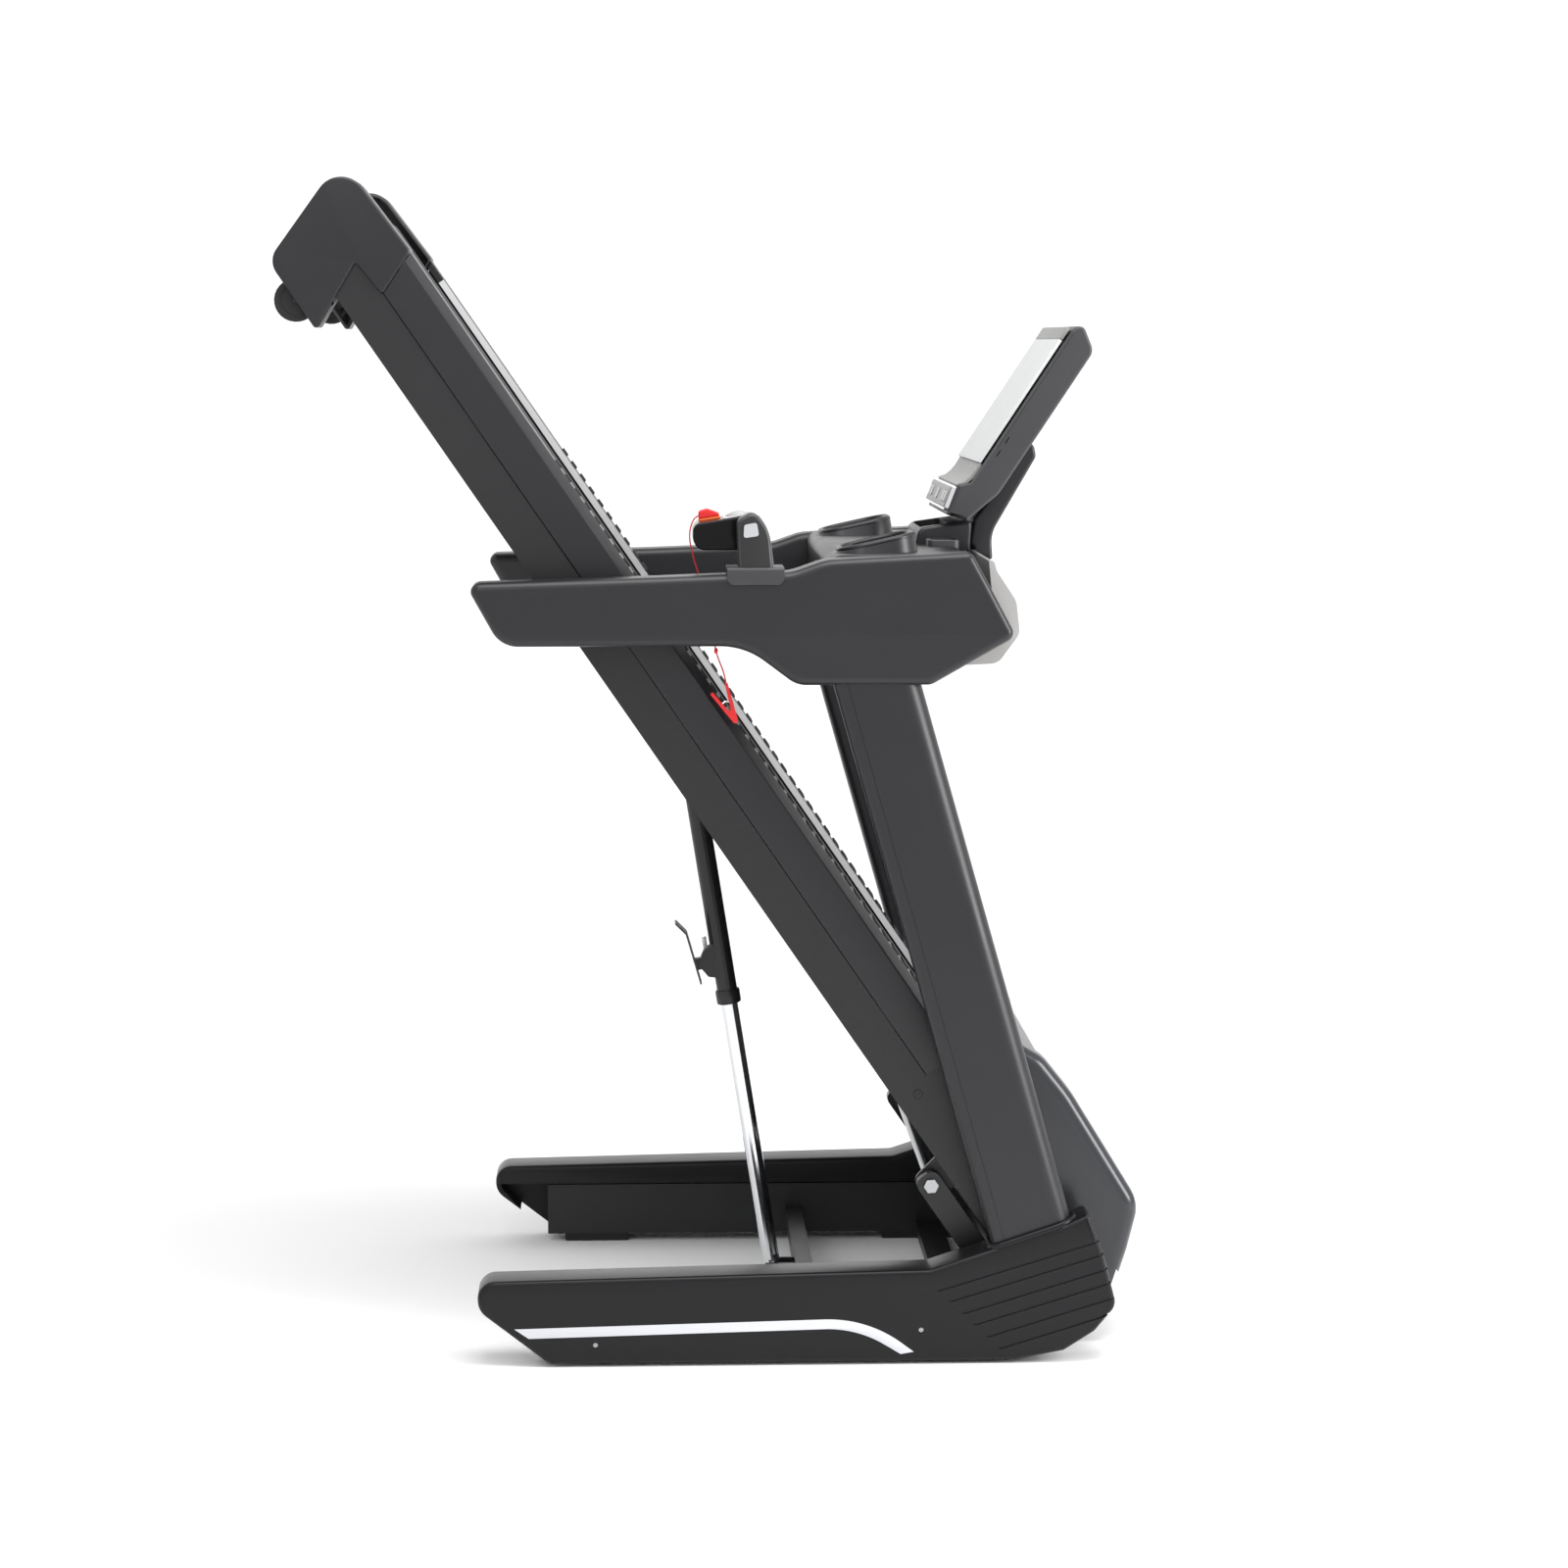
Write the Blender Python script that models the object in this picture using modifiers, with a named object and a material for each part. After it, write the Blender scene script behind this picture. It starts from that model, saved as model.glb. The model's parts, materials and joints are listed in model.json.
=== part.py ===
"""Folding treadmill, stored upright: base with uprights, arms, console and display, a deck that
folds about a low front pivot, a telescopic storage strut, and an incline lift frame.

Metres, +Z up, +X towards the console end, the user's right hand at -Y. The origin is on the floor,
under the middle of the whole machine. Pieces of the deck are drawn as the deck lies when it is
unfolded, with the fold pivot at their origin, and a parent empty stands them up.
"""
import math

import bmesh
import bpy
from mathutils import Matrix, Vector

GAP = 0.0003                 # between pieces that touch

# overall places (before the machine is centred on its origin)
CENTRE_X = 0.01585           # middle of the folded machine's length
FOLD_ANGLE = math.radians(55.5)
FOLD_PIVOT = (0.441, 0.051)  # x, z of the fold shaft
STRUT_FOOT = (0.108, 0.036)  # x, z of the strut's lower pivot
STRUT_TILT = math.radians(9.08)
STRUT_LENGTH = 0.7798        # pivot to pivot, folded
UPRIGHT_LEAN = math.radians(15.8)
UPRIGHT_FOOT_X = 0.5026      # where the upright's middle line meets the floor

# base
RAIL_IN, RAIL_OUT = 0.360, 0.430       # arm covers, distance from the middle plane
COVER_OUT = 0.4335                     # the base covers are a little wider
WALL = 0.003
TUBE_IN, TUBE_OUT = 0.364, 0.404       # steel side tubes
TUBE_LOW, TUBE_TOP = 0.012, 0.090

# uprights and arms
UPRIGHT_IN, UPRIGHT_OUT = 0.365, 0.425
UPRIGHT_DEPTH = 0.1155
ARM_TUBE_R = 0.019

# deck, measured from the fold pivot with the deck level
RAIL_LOW, RAIL_TOP = 0.0275, 0.0825    # deck side rails
DECK_IN, DECK_OUT = 0.316, 0.346
DECK_FRONT, DECK_REAR = 0.040, -1.790
INCLINE_PIVOT_X = -0.2187
FOOT_FRONT = -0.3535
BELT_HALF = 0.260
BELT_THICK = 0.0017
BOARD_TOP = 0.1300
ROLLER_R = 0.0245
ROLLER_Z = BOARD_TOP - ROLLER_R
FRONT_ROLLER_X, REAR_ROLLER_X = -0.238, -1.753
MOTOR_X, MOTOR_Z = -0.085, 0.092
DECK_WHEEL = (-1.7229, -0.0203)
DECK_WHEEL_R = 0.0292
STRUT_HEAD = (-0.8805, 0.0518)         # where the strut is pinned to the deck
PIN_R, PIN_BORE = 0.0050, 0.0054
EAR_REACH = 0.0595                     # from the strut's head back to the cross tube that holds it

SIDES = {"right": -1, "left": 1}


# ------------------------------------------------------------------ scene and materials
for old in list(bpy.data.objects):
    bpy.data.objects.remove(old, do_unlink=True)

parts = bpy.data.collections.new("treadmill")
guides = bpy.data.collections.new("treadmill_cutters")
bpy.context.scene.collection.children.link(parts)
bpy.context.scene.collection.children.link(guides)


def make_material(name, colour, roughness, metallic=0.0):
    material = bpy.data.materials.new(name)
    material.use_nodes = True
    shader = material.node_tree.nodes["Principled BSDF"]
    shader.inputs["Base Color"].default_value = (*colour, 1.0)
    shader.inputs["Roughness"].default_value = roughness
    shader.inputs["Metallic"].default_value = metallic
    return material


COATED = make_material("coated_steel", (0.018, 0.018, 0.021), 0.45, 0.3)
PLASTIC = make_material("charcoal_plastic", (0.045, 0.045, 0.052), 0.55)
GLOSS = make_material("gloss_plastic", (0.015, 0.015, 0.017), 0.2)
GREY = make_material("grey_plastic", (0.14, 0.14, 0.15), 0.5)
PALE = make_material("pale_plastic", (0.55, 0.55, 0.56), 0.35)
RUBBER = make_material("rubber", (0.02, 0.02, 0.02), 0.9)
CHROME = make_material("chrome", (0.75, 0.76, 0.78), 0.15, 1.0)
BARE = make_material("zinc_steel", (0.45, 0.46, 0.47), 0.4, 1.0)
BOARD = make_material("phenolic_board", (0.10, 0.06, 0.04), 0.6)
BELT = make_material("belt_pvc", (0.03, 0.03, 0.032), 0.8)
SCREEN = make_material("screen_glass", (0.70, 0.72, 0.72), 0.1)
RED = make_material("red_plastic", (0.65, 0.02, 0.02), 0.35)


# ------------------------------------------------------------------ placing
def make_empty(name, x=0.0, z=0.0, turn=0.0, parent=None):
    empty = bpy.data.objects.new(name, None)
    empty.location = (x, 0.0, z)
    empty.rotation_euler = (0.0, turn, 0.0)
    empty.parent = parent
    parts.objects.link(empty)
    return empty


machine = make_empty("machine", x=-CENTRE_X)
deck_axis = make_empty("deck_axis", *FOLD_PIVOT, turn=FOLD_ANGLE, parent=machine)
strut_axis = make_empty("strut_axis", *STRUT_FOOT, turn=-STRUT_TILT, parent=machine)
upright_axis = make_empty("upright_axis", x=UPRIGHT_FOOT_X, turn=-UPRIGHT_LEAN, parent=machine)


def node(obj, name, material, parent, smooth=False):
    """Names a finished mesh, hangs it on its parent and gives it its material."""
    obj.name = obj.data.name = name
    obj.parent = parent
    obj.data.materials.clear()
    obj.data.materials.append(material)
    if smooth:
        obj.data.shade_smooth()
        obj.data.set_sharp_from_angle(angle=math.radians(35))
    for holder in obj.users_collection:
        holder.objects.unlink(obj)
    parts.objects.link(obj)
    return obj


def boolean(obj, other, operation):
    """Cuts or joins with another mesh, which stays behind as a guide under the same parent."""
    modifier = obj.modifiers.new(operation.lower(), "BOOLEAN")
    modifier.operation = operation
    modifier.solver = "EXACT"
    modifier.object = other
    other.hide_render = True
    other.display_type = "WIRE"
    other.parent = obj
    for holder in other.users_collection:
        holder.objects.unlink(other)
    guides.objects.link(other)
    return obj


def cut(obj, *others):
    for other in others:
        boolean(obj, other, "DIFFERENCE")
    return obj


def join(obj, *others):
    for other in others:
        boolean(obj, other, "UNION")
    return obj


# ------------------------------------------------------------------ shapes
def box(x0, x1, y0, y1, z0, z1):
    bpy.ops.mesh.primitive_cube_add(size=1.0)
    obj = bpy.context.active_object
    size = Vector((x1 - x0, y1 - y0, z1 - z0))
    middle = Vector((x0 + x1, y0 + y1, z0 + z1)) / 2
    for vertex in obj.data.vertices:
        vertex.co = Vector(a * b for a, b in zip(vertex.co, size)) + middle
    return obj


def rounded(corners, steps=4):
    """An outline from corners (a, b, radius): each corner with a radius becomes an arc."""
    outline = []
    for index, (a, b, radius) in enumerate(corners):
        corner = Vector((a, b))
        if radius == 0:
            outline.append(corner)
            continue
        before = (Vector(corners[index - 1][:2]) - corner).normalized()
        after = (Vector(corners[(index + 1) % len(corners)][:2]) - corner).normalized()
        half = before.angle(after) / 2
        centre = corner + (before + after).normalized() * radius / math.sin(half)
        start = corner + before * radius / math.tan(half) - centre
        end = corner + after * radius / math.tan(half) - centre
        sweep = start.angle_signed(end)
        for step in range(steps + 1):
            turn = -sweep * step / steps
            outline.append(centre + Vector((
                start.x * math.cos(turn) - start.y * math.sin(turn),
                start.x * math.sin(turn) + start.y * math.cos(turn))))
    return outline


def offset(outline, distance):
    """The outline moved inwards by a distance (outwards when it is negative)."""
    area = sum(p.x * q.y - q.x * p.y for p, q in zip(outline, outline[1:] + outline[:1]))
    side = 1 if area > 0 else -1
    moved = []
    for index, point in enumerate(outline):
        before = (point - outline[index - 1]).normalized()
        after = (outline[(index + 1) % len(outline)] - point).normalized()
        normal = (Vector((-before.y, before.x)) + Vector((-after.y, after.x))) * side
        normal.normalize()
        edge = Vector((-before.y, before.x)) * side
        moved.append(point + normal * distance / max(normal.dot(edge), 0.4))
    return moved


def extruded(outline, low, high, holes=(), plane="XZ"):
    """A flat outline given thickness: in the XZ plane along y, in XY along z, in YZ along x."""
    curve = bpy.data.curves.new("outline", "CURVE")
    curve.dimensions = "2D"
    curve.fill_mode = "BOTH"
    curve.extrude = (high - low) / 2
    curve.resolution_u = 1
    for loop in (outline, *holes):
        spline = curve.splines.new("POLY")
        spline.points.add(len(loop) - 1)
        for point, place in zip(spline.points, loop):
            point.co = (place[0], place[1], 0.0, 1.0)
        spline.use_cyclic_u = True
    flat = bpy.data.objects.new("outline", curve)
    guides.objects.link(flat)
    bpy.context.view_layer.update()
    shape = flat.evaluated_get(bpy.context.evaluated_depsgraph_get())
    mesh = bpy.data.meshes.new_from_object(shape)
    bpy.data.objects.remove(flat, do_unlink=True)
    middle = (low + high) / 2
    for vertex in mesh.vertices:
        a, b, c = vertex.co
        if plane == "XZ":
            vertex.co = (a, middle - c, b)
        elif plane == "XY":
            vertex.co = (a, b, middle + c)
        else:
            vertex.co = (middle + c, a, b)
    tidy = bmesh.new()
    tidy.from_mesh(mesh)
    bmesh.ops.remove_doubles(tidy, verts=tidy.verts, dist=0.00001)
    bmesh.ops.recalc_face_normals(tidy, faces=tidy.faces)
    tidy.to_mesh(mesh)
    tidy.free()
    obj = bpy.data.objects.new("extruded", mesh)
    guides.objects.link(obj)
    return obj


def turned(profile, steps=24):
    """A profile of (radius, y) turned about the Y axis through the object's origin."""
    mesh = bpy.data.meshes.new("turned")
    shape = bmesh.new()
    rim = [shape.verts.new((radius, 0.0, along)) for radius, along in profile]
    for first, second in zip(rim, rim[1:]):
        shape.edges.new((first, second))
    if profile[0][0] > 0 and profile[-1][0] > 0:
        shape.edges.new((rim[-1], rim[0]))
    shape.to_mesh(mesh)
    shape.free()
    obj = bpy.data.objects.new("turned", mesh)
    guides.objects.link(obj)
    screw = obj.modifiers.new("screw", "SCREW")
    screw.axis = "Z"
    screw.steps = screw.render_steps = steps
    screw.use_merge_vertices = True
    screw.merge_threshold = 0.00001
    bpy.context.view_layer.update()
    solid = obj.evaluated_get(bpy.context.evaluated_depsgraph_get())
    result = bpy.data.meshes.new_from_object(solid)
    bpy.data.objects.remove(obj, do_unlink=True)
    tidy = bmesh.new()
    tidy.from_mesh(result)
    bmesh.ops.remove_doubles(tidy, verts=tidy.verts, dist=0.00001)
    bmesh.ops.recalc_face_normals(tidy, faces=tidy.faces)
    for vertex in tidy.verts:
        x, y, z = vertex.co
        vertex.co = (x, -z, y)
    tidy.to_mesh(result)
    tidy.free()
    whole = bpy.data.objects.new("turned", result)
    guides.objects.link(whole)
    return whole


def rod(radius, y0, y1, x=0.0, z=0.0, sides=16):
    """A cylinder along Y."""
    circle = [(x + radius * math.cos(a), z + radius * math.sin(a))
              for a in (2 * math.pi * i / sides for i in range(sides))]
    return extruded([Vector(p) for p in circle], min(y0, y1), max(y0, y1))


def post(radius, z0, z1, x=0.0, y=0.0, sides=16):
    """A cylinder along Z."""
    circle = [(x + radius * math.cos(a), y + radius * math.sin(a))
              for a in (2 * math.pi * i / sides for i in range(sides))]
    return extruded([Vector(p) for p in circle], z0, z1, plane="XY")


def between(side, inner, outer):
    """The y range of a piece on one side, from its distances to the middle plane."""
    return sorted((side * inner, side * outer))


def sweep(points, radius, resolution=2):
    """A round tube or cord through a list of points."""
    curve = bpy.data.curves.new("route", "CURVE")
    curve.dimensions = "3D"
    curve.bevel_depth = radius
    curve.bevel_resolution = resolution
    curve.use_fill_caps = True
    spline = curve.splines.new("POLY")
    spline.points.add(len(points) - 1)
    for point, place in zip(spline.points, points):
        point.co = (*place, 1.0)
    obj = bpy.data.objects.new("route", curve)
    guides.objects.link(obj)
    return obj


def smooth_route(controls, spacing):
    """Points at even spacing on a smooth curve through the control points."""
    controls = [Vector(c) for c in controls]
    padded = [2 * controls[0] - controls[1], *controls, 2 * controls[-1] - controls[-2]]
    dense = []
    for p0, p1, p2, p3 in zip(padded, padded[1:], padded[2:], padded[3:]):
        for step in range(40):
            t = step / 40
            dense.append(0.5 * (2 * p1 + (p2 - p0) * t + (2 * p0 - 5 * p1 + 4 * p2 - p3) * t * t
                                + (3 * p1 - p0 - 3 * p2 + p3) * t ** 3))
    dense.append(controls[-1])
    total = sum((b - a).length for a, b in zip(dense, dense[1:]))
    count = max(2, round(total / spacing))
    route, walked, target = [dense[0]], 0.0, total / count
    for a, b in zip(dense, dense[1:]):
        length = (b - a).length
        while walked + length >= target - 1e-9 and len(route) < count:
            route.append(a.lerp(b, (target - walked) / length))
            target += total / count
        walked += length
    route.append(dense[-1])
    return route


# ------------------------------------------------------------------ base
SIDE_TUBE = [(-0.232, TUBE_LOW, 0), (0.440, TUBE_LOW, 0), (0.545, 0.058, 0),
             (0.545, TUBE_TOP, 0), (-0.232, TUBE_TOP, 0)]
COVER = [(-0.3145, 0.1200, 0.018), (-0.3120, 0.0790, 0.020), (-0.215, 0.004, 0.012),
         (0.425, 0.004, 0), (0.495, 0.017, 0),
         (0.538, 0.044, 0.02), (0.568, 0.080, 0.02), (0.549, 0.152, 0), (0.529, 0.209, 0.004),
         (0.498, 0.1945, 0.01), (0.309, 0.1325, 0.03)]
CROSS_REAR_X = 0.1525
CROSS_FRONT_X = 0.365


def upright_outline(clearance=0.0, front=0.028, back=0.011):
    """Section of an upright in its own frame: large radius in front, small radius behind."""
    x, y = UPRIGHT_DEPTH / 2, (UPRIGHT_OUT - UPRIGHT_IN) / 2
    corners = [(x, y, front), (-x, y, back), (-x, -y, back), (x, -y, front)]
    outline = rounded(corners, steps=3)
    return offset(outline, -clearance) if clearance else outline


def upright_opening(clearance, low, high):
    """The leaning space that an upright passes through, as a side-view block."""
    half = UPRIGHT_DEPTH / 2 / math.cos(UPRIGHT_LEAN) + clearance
    lean = math.tan(UPRIGHT_LEAN)
    corners = []
    for z, order in ((low, (-1, 1)), (high, (1, -1))):
        for way in order:
            corners.append(Vector((UPRIGHT_FOOT_X - z * lean + way * half, z)))
    return corners


def make_base_frame():
    outer = rounded(SIDE_TUBE)
    inner = offset(outer, WALL)
    for point in inner:
        if point.x < -0.2:
            point.x = -0.26
        elif point.x > 0.53:
            point.x = 0.57
    frame = extruded(outer, *between(-1, TUBE_IN, TUBE_OUT))
    join(frame, extruded(outer, *between(1, TUBE_IN, TUBE_OUT)))
    reach = TUBE_IN + 0.002
    join(frame, box(CROSS_REAR_X - 0.0125, CROSS_REAR_X + 0.0125, -reach, reach, 0.029, 0.054))
    join(frame, box(CROSS_FRONT_X - 0.020, CROSS_FRONT_X + 0.020, -reach, reach, 0.0125, 0.0285))
    for side in SIDES.values():
        join(frame, rod(0.021, *between(side, 0.3525, TUBE_IN + 0.002), *FOLD_PIVOT))
        join(frame, box(STRUT_FOOT[0] - 0.012, CROSS_REAR_X - 0.010,
                        *between(side, 0.0170, 0.0225), 0.020, 0.050))
    for side in SIDES.values():
        cut(frame, extruded(inner, *between(side, TUBE_IN + WALL, TUBE_OUT - WALL)))
        cut(frame, rod(0.0083, *between(side, 0.345, TUBE_IN + WALL + 0.001), *FOLD_PIVOT))
    bore = TUBE_IN + WALL + 0.001
    cut(frame, box(CROSS_REAR_X - 0.0095, CROSS_REAR_X + 0.0095, -bore, bore, 0.032, 0.051))
    cut(frame, box(CROSS_FRONT_X - 0.0170, CROSS_FRONT_X + 0.0170, -bore, bore, 0.0155, 0.0255))
    cut(frame, rod(PIN_BORE, -0.03, 0.03, *STRUT_FOOT))
    return node(frame, "base_frame", COATED, machine)


def make_base_cover(name, side):
    outline = rounded(COVER, steps=4)
    shell = extruded(outline, *between(side, RAIL_IN, COVER_OUT))
    hollow = offset(outline, WALL)
    for point in hollow:
        if point.y < 0.012 and point.x < 0.45:
            point.y = -0.02
    cut(shell, extruded(hollow, *between(side, RAIL_IN + WALL, COVER_OUT - WALL)))
    cut(shell, box(-0.40, 0.60, *between(side, RAIL_IN - 0.01, RAIL_IN + WALL + 0.0005),
                   -0.02, TUBE_TOP + 0.0025))
    cut(shell, extruded(upright_opening(0.0012, 0.085, 0.30),
                        *between(side, RAIL_IN + WALL + 0.0005, COVER_OUT - WALL - 0.0005)))
    return node(shell, name, PLASTIC, machine)


def make_foot(name, side, x0, x1):
    outline = rounded([(x0, 0.0, 0.003), (x1, 0.0, 0.003), (x1, TUBE_LOW - GAP, 0),
                       (x0, TUBE_LOW - GAP, 0)], steps=2)
    return node(extruded(outline, *between(side, 0.366, 0.402)), name, RUBBER, machine)


def make_wheel(name, x, z, side, inner, outer, radius, bore, parent):
    """A small plastic wheel with a rounded tread, its origin on its axle."""
    half = (outer - inner) / 2
    tread = [(bore, -half), (radius * 0.62, -half), (radius * 0.70, -half + 0.0015),
             (radius * 0.88, -half), (radius, -half + 0.003), (radius, half - 0.003),
             (radius * 0.88, half), (radius * 0.70, half - 0.0015), (radius * 0.62, half),
             (bore, half)]
    wheel = node(turned(tread, steps=28), name, RUBBER, parent, smooth=True)
    wheel.location = (x, side * (inner + outer) / 2, z)
    return wheel


make_base_frame()
for name, side in SIDES.items():
    make_base_cover("base_cover_" + name, side)
    make_foot("rear_foot_" + name, side, -0.205, -0.105)
    make_foot("front_foot_" + name, side, 0.292, 0.430)
    make_wheel("transport_wheel_" + name, 0.478, 0.043, side, 0.4075, 0.4235, 0.026, 0.0042,
               machine)


# ------------------------------------------------------------------ uprights and arms
ARM = [(-0.323, 1.0790, 0.010), (-0.275, 0.9930, 0.030), (0.055, 0.9930, 0.09),
       (0.126, 0.9400, 0.035), (0.309, 0.9400, 0.020), (0.4245, 1.0055, 0.012),
       (0.387, 1.0760, 0.08), (0.3630, 1.1200, 0.010), (0.165, 1.1100, 0.06),
       (0.118, 1.0935, 0.06), (-0.060, 1.0870, 0.3)]


def make_upright(name, side):
    low, high = 0.075, 1.080
    middle = side * (UPRIGHT_IN + UPRIGHT_OUT) / 2
    section = upright_outline()
    inner = offset(section, 0.0025)
    post_solid = extruded(section, low, high, holes=(inner,), plane="XY")
    for vertex in post_solid.data.vertices:
        vertex.co.y += middle
    foot = TUBE_TOP + GAP
    lean = math.tan(UPRIGHT_LEAN)
    across = [Vector((-0.2, 0.0)), Vector((0.2, 0.0)), Vector((0.2, foot + 0.2 * lean)),
              Vector((-0.2, foot - 0.2 * lean))]
    for corner in across[2:]:
        corner.y = foot / math.cos(UPRIGHT_LEAN) - corner.x * lean
    floor_cut = extruded(across, middle - 0.05, middle + 0.05)
    cut(post_solid, floor_cut)
    return node(post_solid, name, PLASTIC, upright_axis, smooth=True)


def make_handrail_tube(name, side):
    y = side * (RAIL_IN + RAIL_OUT) / 2
    tube = sweep([(-0.268, y, 1.040), (0.128, y, 1.044)], ARM_TUBE_R, resolution=3)
    tube.data.name = name
    tube.name = name
    tube.parent = machine
    tube.data.materials.append(COATED)
    for holder in tube.users_collection:
        holder.objects.unlink(tube)
    parts.objects.link(tube)
    return tube


def make_arm_cover(name, side):
    outline = rounded(ARM, steps=5)
    shell = extruded(outline, *between(side, RAIL_IN, RAIL_OUT))
    cut(shell, extruded(offset(outline, WALL), *between(side, RAIL_IN + WALL, RAIL_OUT - WALL)))
    cut(shell, extruded(upright_opening(0.0012, 0.90, 1.00),
                        *between(side, RAIL_IN + WALL + 0.001, RAIL_OUT - WALL - 0.001)))
    return node(shell, name, PLASTIC, machine)


for name, side in SIDES.items():
    make_upright("upright_" + name, side)
    make_handrail_tube("handrail_tube_" + name, side)
    make_arm_cover("arm_cover_" + name, side)


# ------------------------------------------------------------------ safety pod on the right arm
POD_TOP_SLOPE = math.radians(9.17)
POD_Y = (-0.3720, -0.2640)
KEY_Y = -0.318
POD_TOP_FOOT = (-0.004, 1.1580)        # x, z on the pod's sloping top
pod_top = make_empty("pod_top", *POD_TOP_FOOT, turn=-POD_TOP_SLOPE, parent=machine)
DOME_X, DOME_R = 0.052, 0.0155


def make_pod_bracket():
    section = [(-COVER_OUT, 1.0765), (-0.4305, 1.0765), (-0.4305, 1.0945), (-0.3595, 1.0945),
               (-0.3595, 1.0765), (-0.3535, 1.0765), (-0.3535, 1.1005), (-COVER_OUT, 1.1005)]
    saddle = extruded([Vector(p) for p in section], 0.031, 0.109, plane="YZ")
    pillar = rounded([(0.047, 1.0985, 0), (0.094, 1.0985, 0), (0.0890, 1.150, 0.05),
                      (0.068, 1.1760, 0.012), (0.045, 1.1640, 0.012)], steps=4)
    join(saddle, extruded(pillar, -0.4300, -0.3725))
    return node(saddle, "key_pod_bracket", GREY, machine)


def make_key_pod():
    outline = rounded([(-0.0135, 1.1565, 0.012), (-0.0135, 1.1205, 0.017), (0.072, 1.1205, 0.006),
                       (0.072, 1.1703, 0.004)], steps=5)
    pod = extruded(outline, *POD_Y)
    pocket = post(DOME_R + 0.0006, -0.0030, 0.0100, x=DOME_X, y=KEY_Y, sides=24)
    pocket.data.transform(Matrix.Rotation(-POD_TOP_SLOPE, 4, "Y"))
    pocket.data.transform(Matrix.Translation((POD_TOP_FOOT[0], 0.0, POD_TOP_FOOT[1])))
    cut(pod, pocket)
    return node(pod, "key_pod", GLOSS, machine)


def make_pulse_plate():
    plate = rounded([(0.0535, 1.1400, 0.003), (0.0745, 1.1430, 0.003), (0.0715, 1.1610, 0.003),
                     (0.0545, 1.1580, 0.003)], steps=2)
    return node(extruded(plate, -0.4318, -0.4303), "pulse_plate", CHROME, machine)


def make_pod_button():
    """A low dome on the pod's sloping top."""
    rim = [(0.0, 0.0065)] + [(DOME_R * math.sin(a), 0.0003 + 0.0062 * math.cos(a))
                             for a in (math.radians(15 * i) for i in range(1, 7))]
    rim += [(DOME_R, -0.0010), (0.0, -0.0010)]
    dome = turned(rim, steps=20)
    dome.data.transform(Matrix.Rotation(math.radians(-90), 4, "X"))
    dome = node(dome, "pod_button", PALE, pod_top, smooth=True)
    dome.location = (DOME_X, KEY_Y, 0.0)
    return dome


def make_safety_key():
    """Wedge-shaped pull key that sits on the pod's top."""
    outline = rounded([(-0.0015, GAP, 0.002), (0.0295, GAP, 0.002), (0.0275, 0.0075, 0.003),
                       (0.0130, 0.0160, 0.006), (0.0010, 0.0145, 0.004)], steps=3)
    return node(extruded(outline, KEY_Y - 0.012, KEY_Y + 0.012), "safety_key", RED, pod_top)


CORD_R = 0.001
CORD_ROUTE = [(-0.0064, -0.3180, 1.1657), (-0.0092, -0.3183, 1.1643), (-0.0118, -0.3188, 1.1606),
              (-0.0152, -0.3200, 1.1533),
              (-0.0174, -0.3240, 1.1434), (-0.0174, -0.3290, 1.1322), (-0.0150, -0.3360, 1.1198),
              (-0.0108, -0.3460, 1.1028), (-0.0049, -0.3530, 1.0835), (0.0029, -0.3556, 1.0497),
              (0.0109, -0.3557, 1.0147), (0.0177, -0.3557, 0.9821), (0.0229, -0.3557, 0.9662),
              (0.0276, -0.3557, 0.9541), (0.0313, -0.3557, 0.9398)]


def make_safety_cord():
    route = smooth_route(CORD_ROUTE, 0.0050)
    cord = sweep(route, CORD_R)
    cord.name = cord.data.name = "safety_cord"
    cord.parent = machine
    cord.data.materials.append(RED)
    for holder in cord.users_collection:
        holder.objects.unlink(cord)
    parts.objects.link(cord)


def make_safety_clip():
    """A V-shaped garment clip hanging between the folded deck and the arm."""
    legs = [(0.0292, 0.9385, 0.001), (0.0335, 0.9385, 0.001), (0.0482, 0.8860, 0.002),
            (0.0460, 0.8805, 0.001), (0.0420, 0.8812, 0.001), (0.0095, 0.9225, 0.001),
            (0.0130, 0.9258, 0.001), (0.0302, 0.9050, 0.001), (0.0345, 0.9085, 0.001)]
    return node(extruded(rounded(legs, steps=2), -0.3590, -0.3525), "safety_clip", RED, machine)


make_pod_bracket()
make_key_pod()
make_pulse_plate()
make_pod_button()
make_safety_key()
make_safety_cord()
make_safety_clip()


# ------------------------------------------------------------------ console
CONSOLE_HALF = 0.3595
TRAY_TOP = 1.1130
CUP_MIDDLE = (0.236, 0.265)       # x, y of each side tray
DISPLAY_HALF = 0.176
DISPLAY_TILT = math.radians(33.6)  # the screen leans back from upright by this much
DISPLAY_FOOT = (0.3790, 1.2085)    # x, z of the screen's lower front edge
display_axis = make_empty("display_axis", *DISPLAY_FOOT, turn=DISPLAY_TILT, parent=machine)
KEYPAD_FOOT = (0.34886, 1.1640)     # on the chin
KEYPAD_TILT = math.radians(21.2)
keypad_axis = make_empty("keypad_axis", *KEYPAD_FOOT, turn=KEYPAD_TILT, parent=machine)
BUTTONS = {"incline_down_button": 0.140, "incline_up_button": 0.105, "start_stop_button": 0.0,
           "speed_down_button": -0.105, "speed_up_button": -0.140}


def rounded_block(x0, x1, y0, y1, z0, z1, radius):
    outline = rounded([(x0, y0, radius), (x1, y0, radius), (x1, y1, radius), (x0, y1, radius)])
    return extruded(outline, z0, z1, plane="XY")


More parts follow.
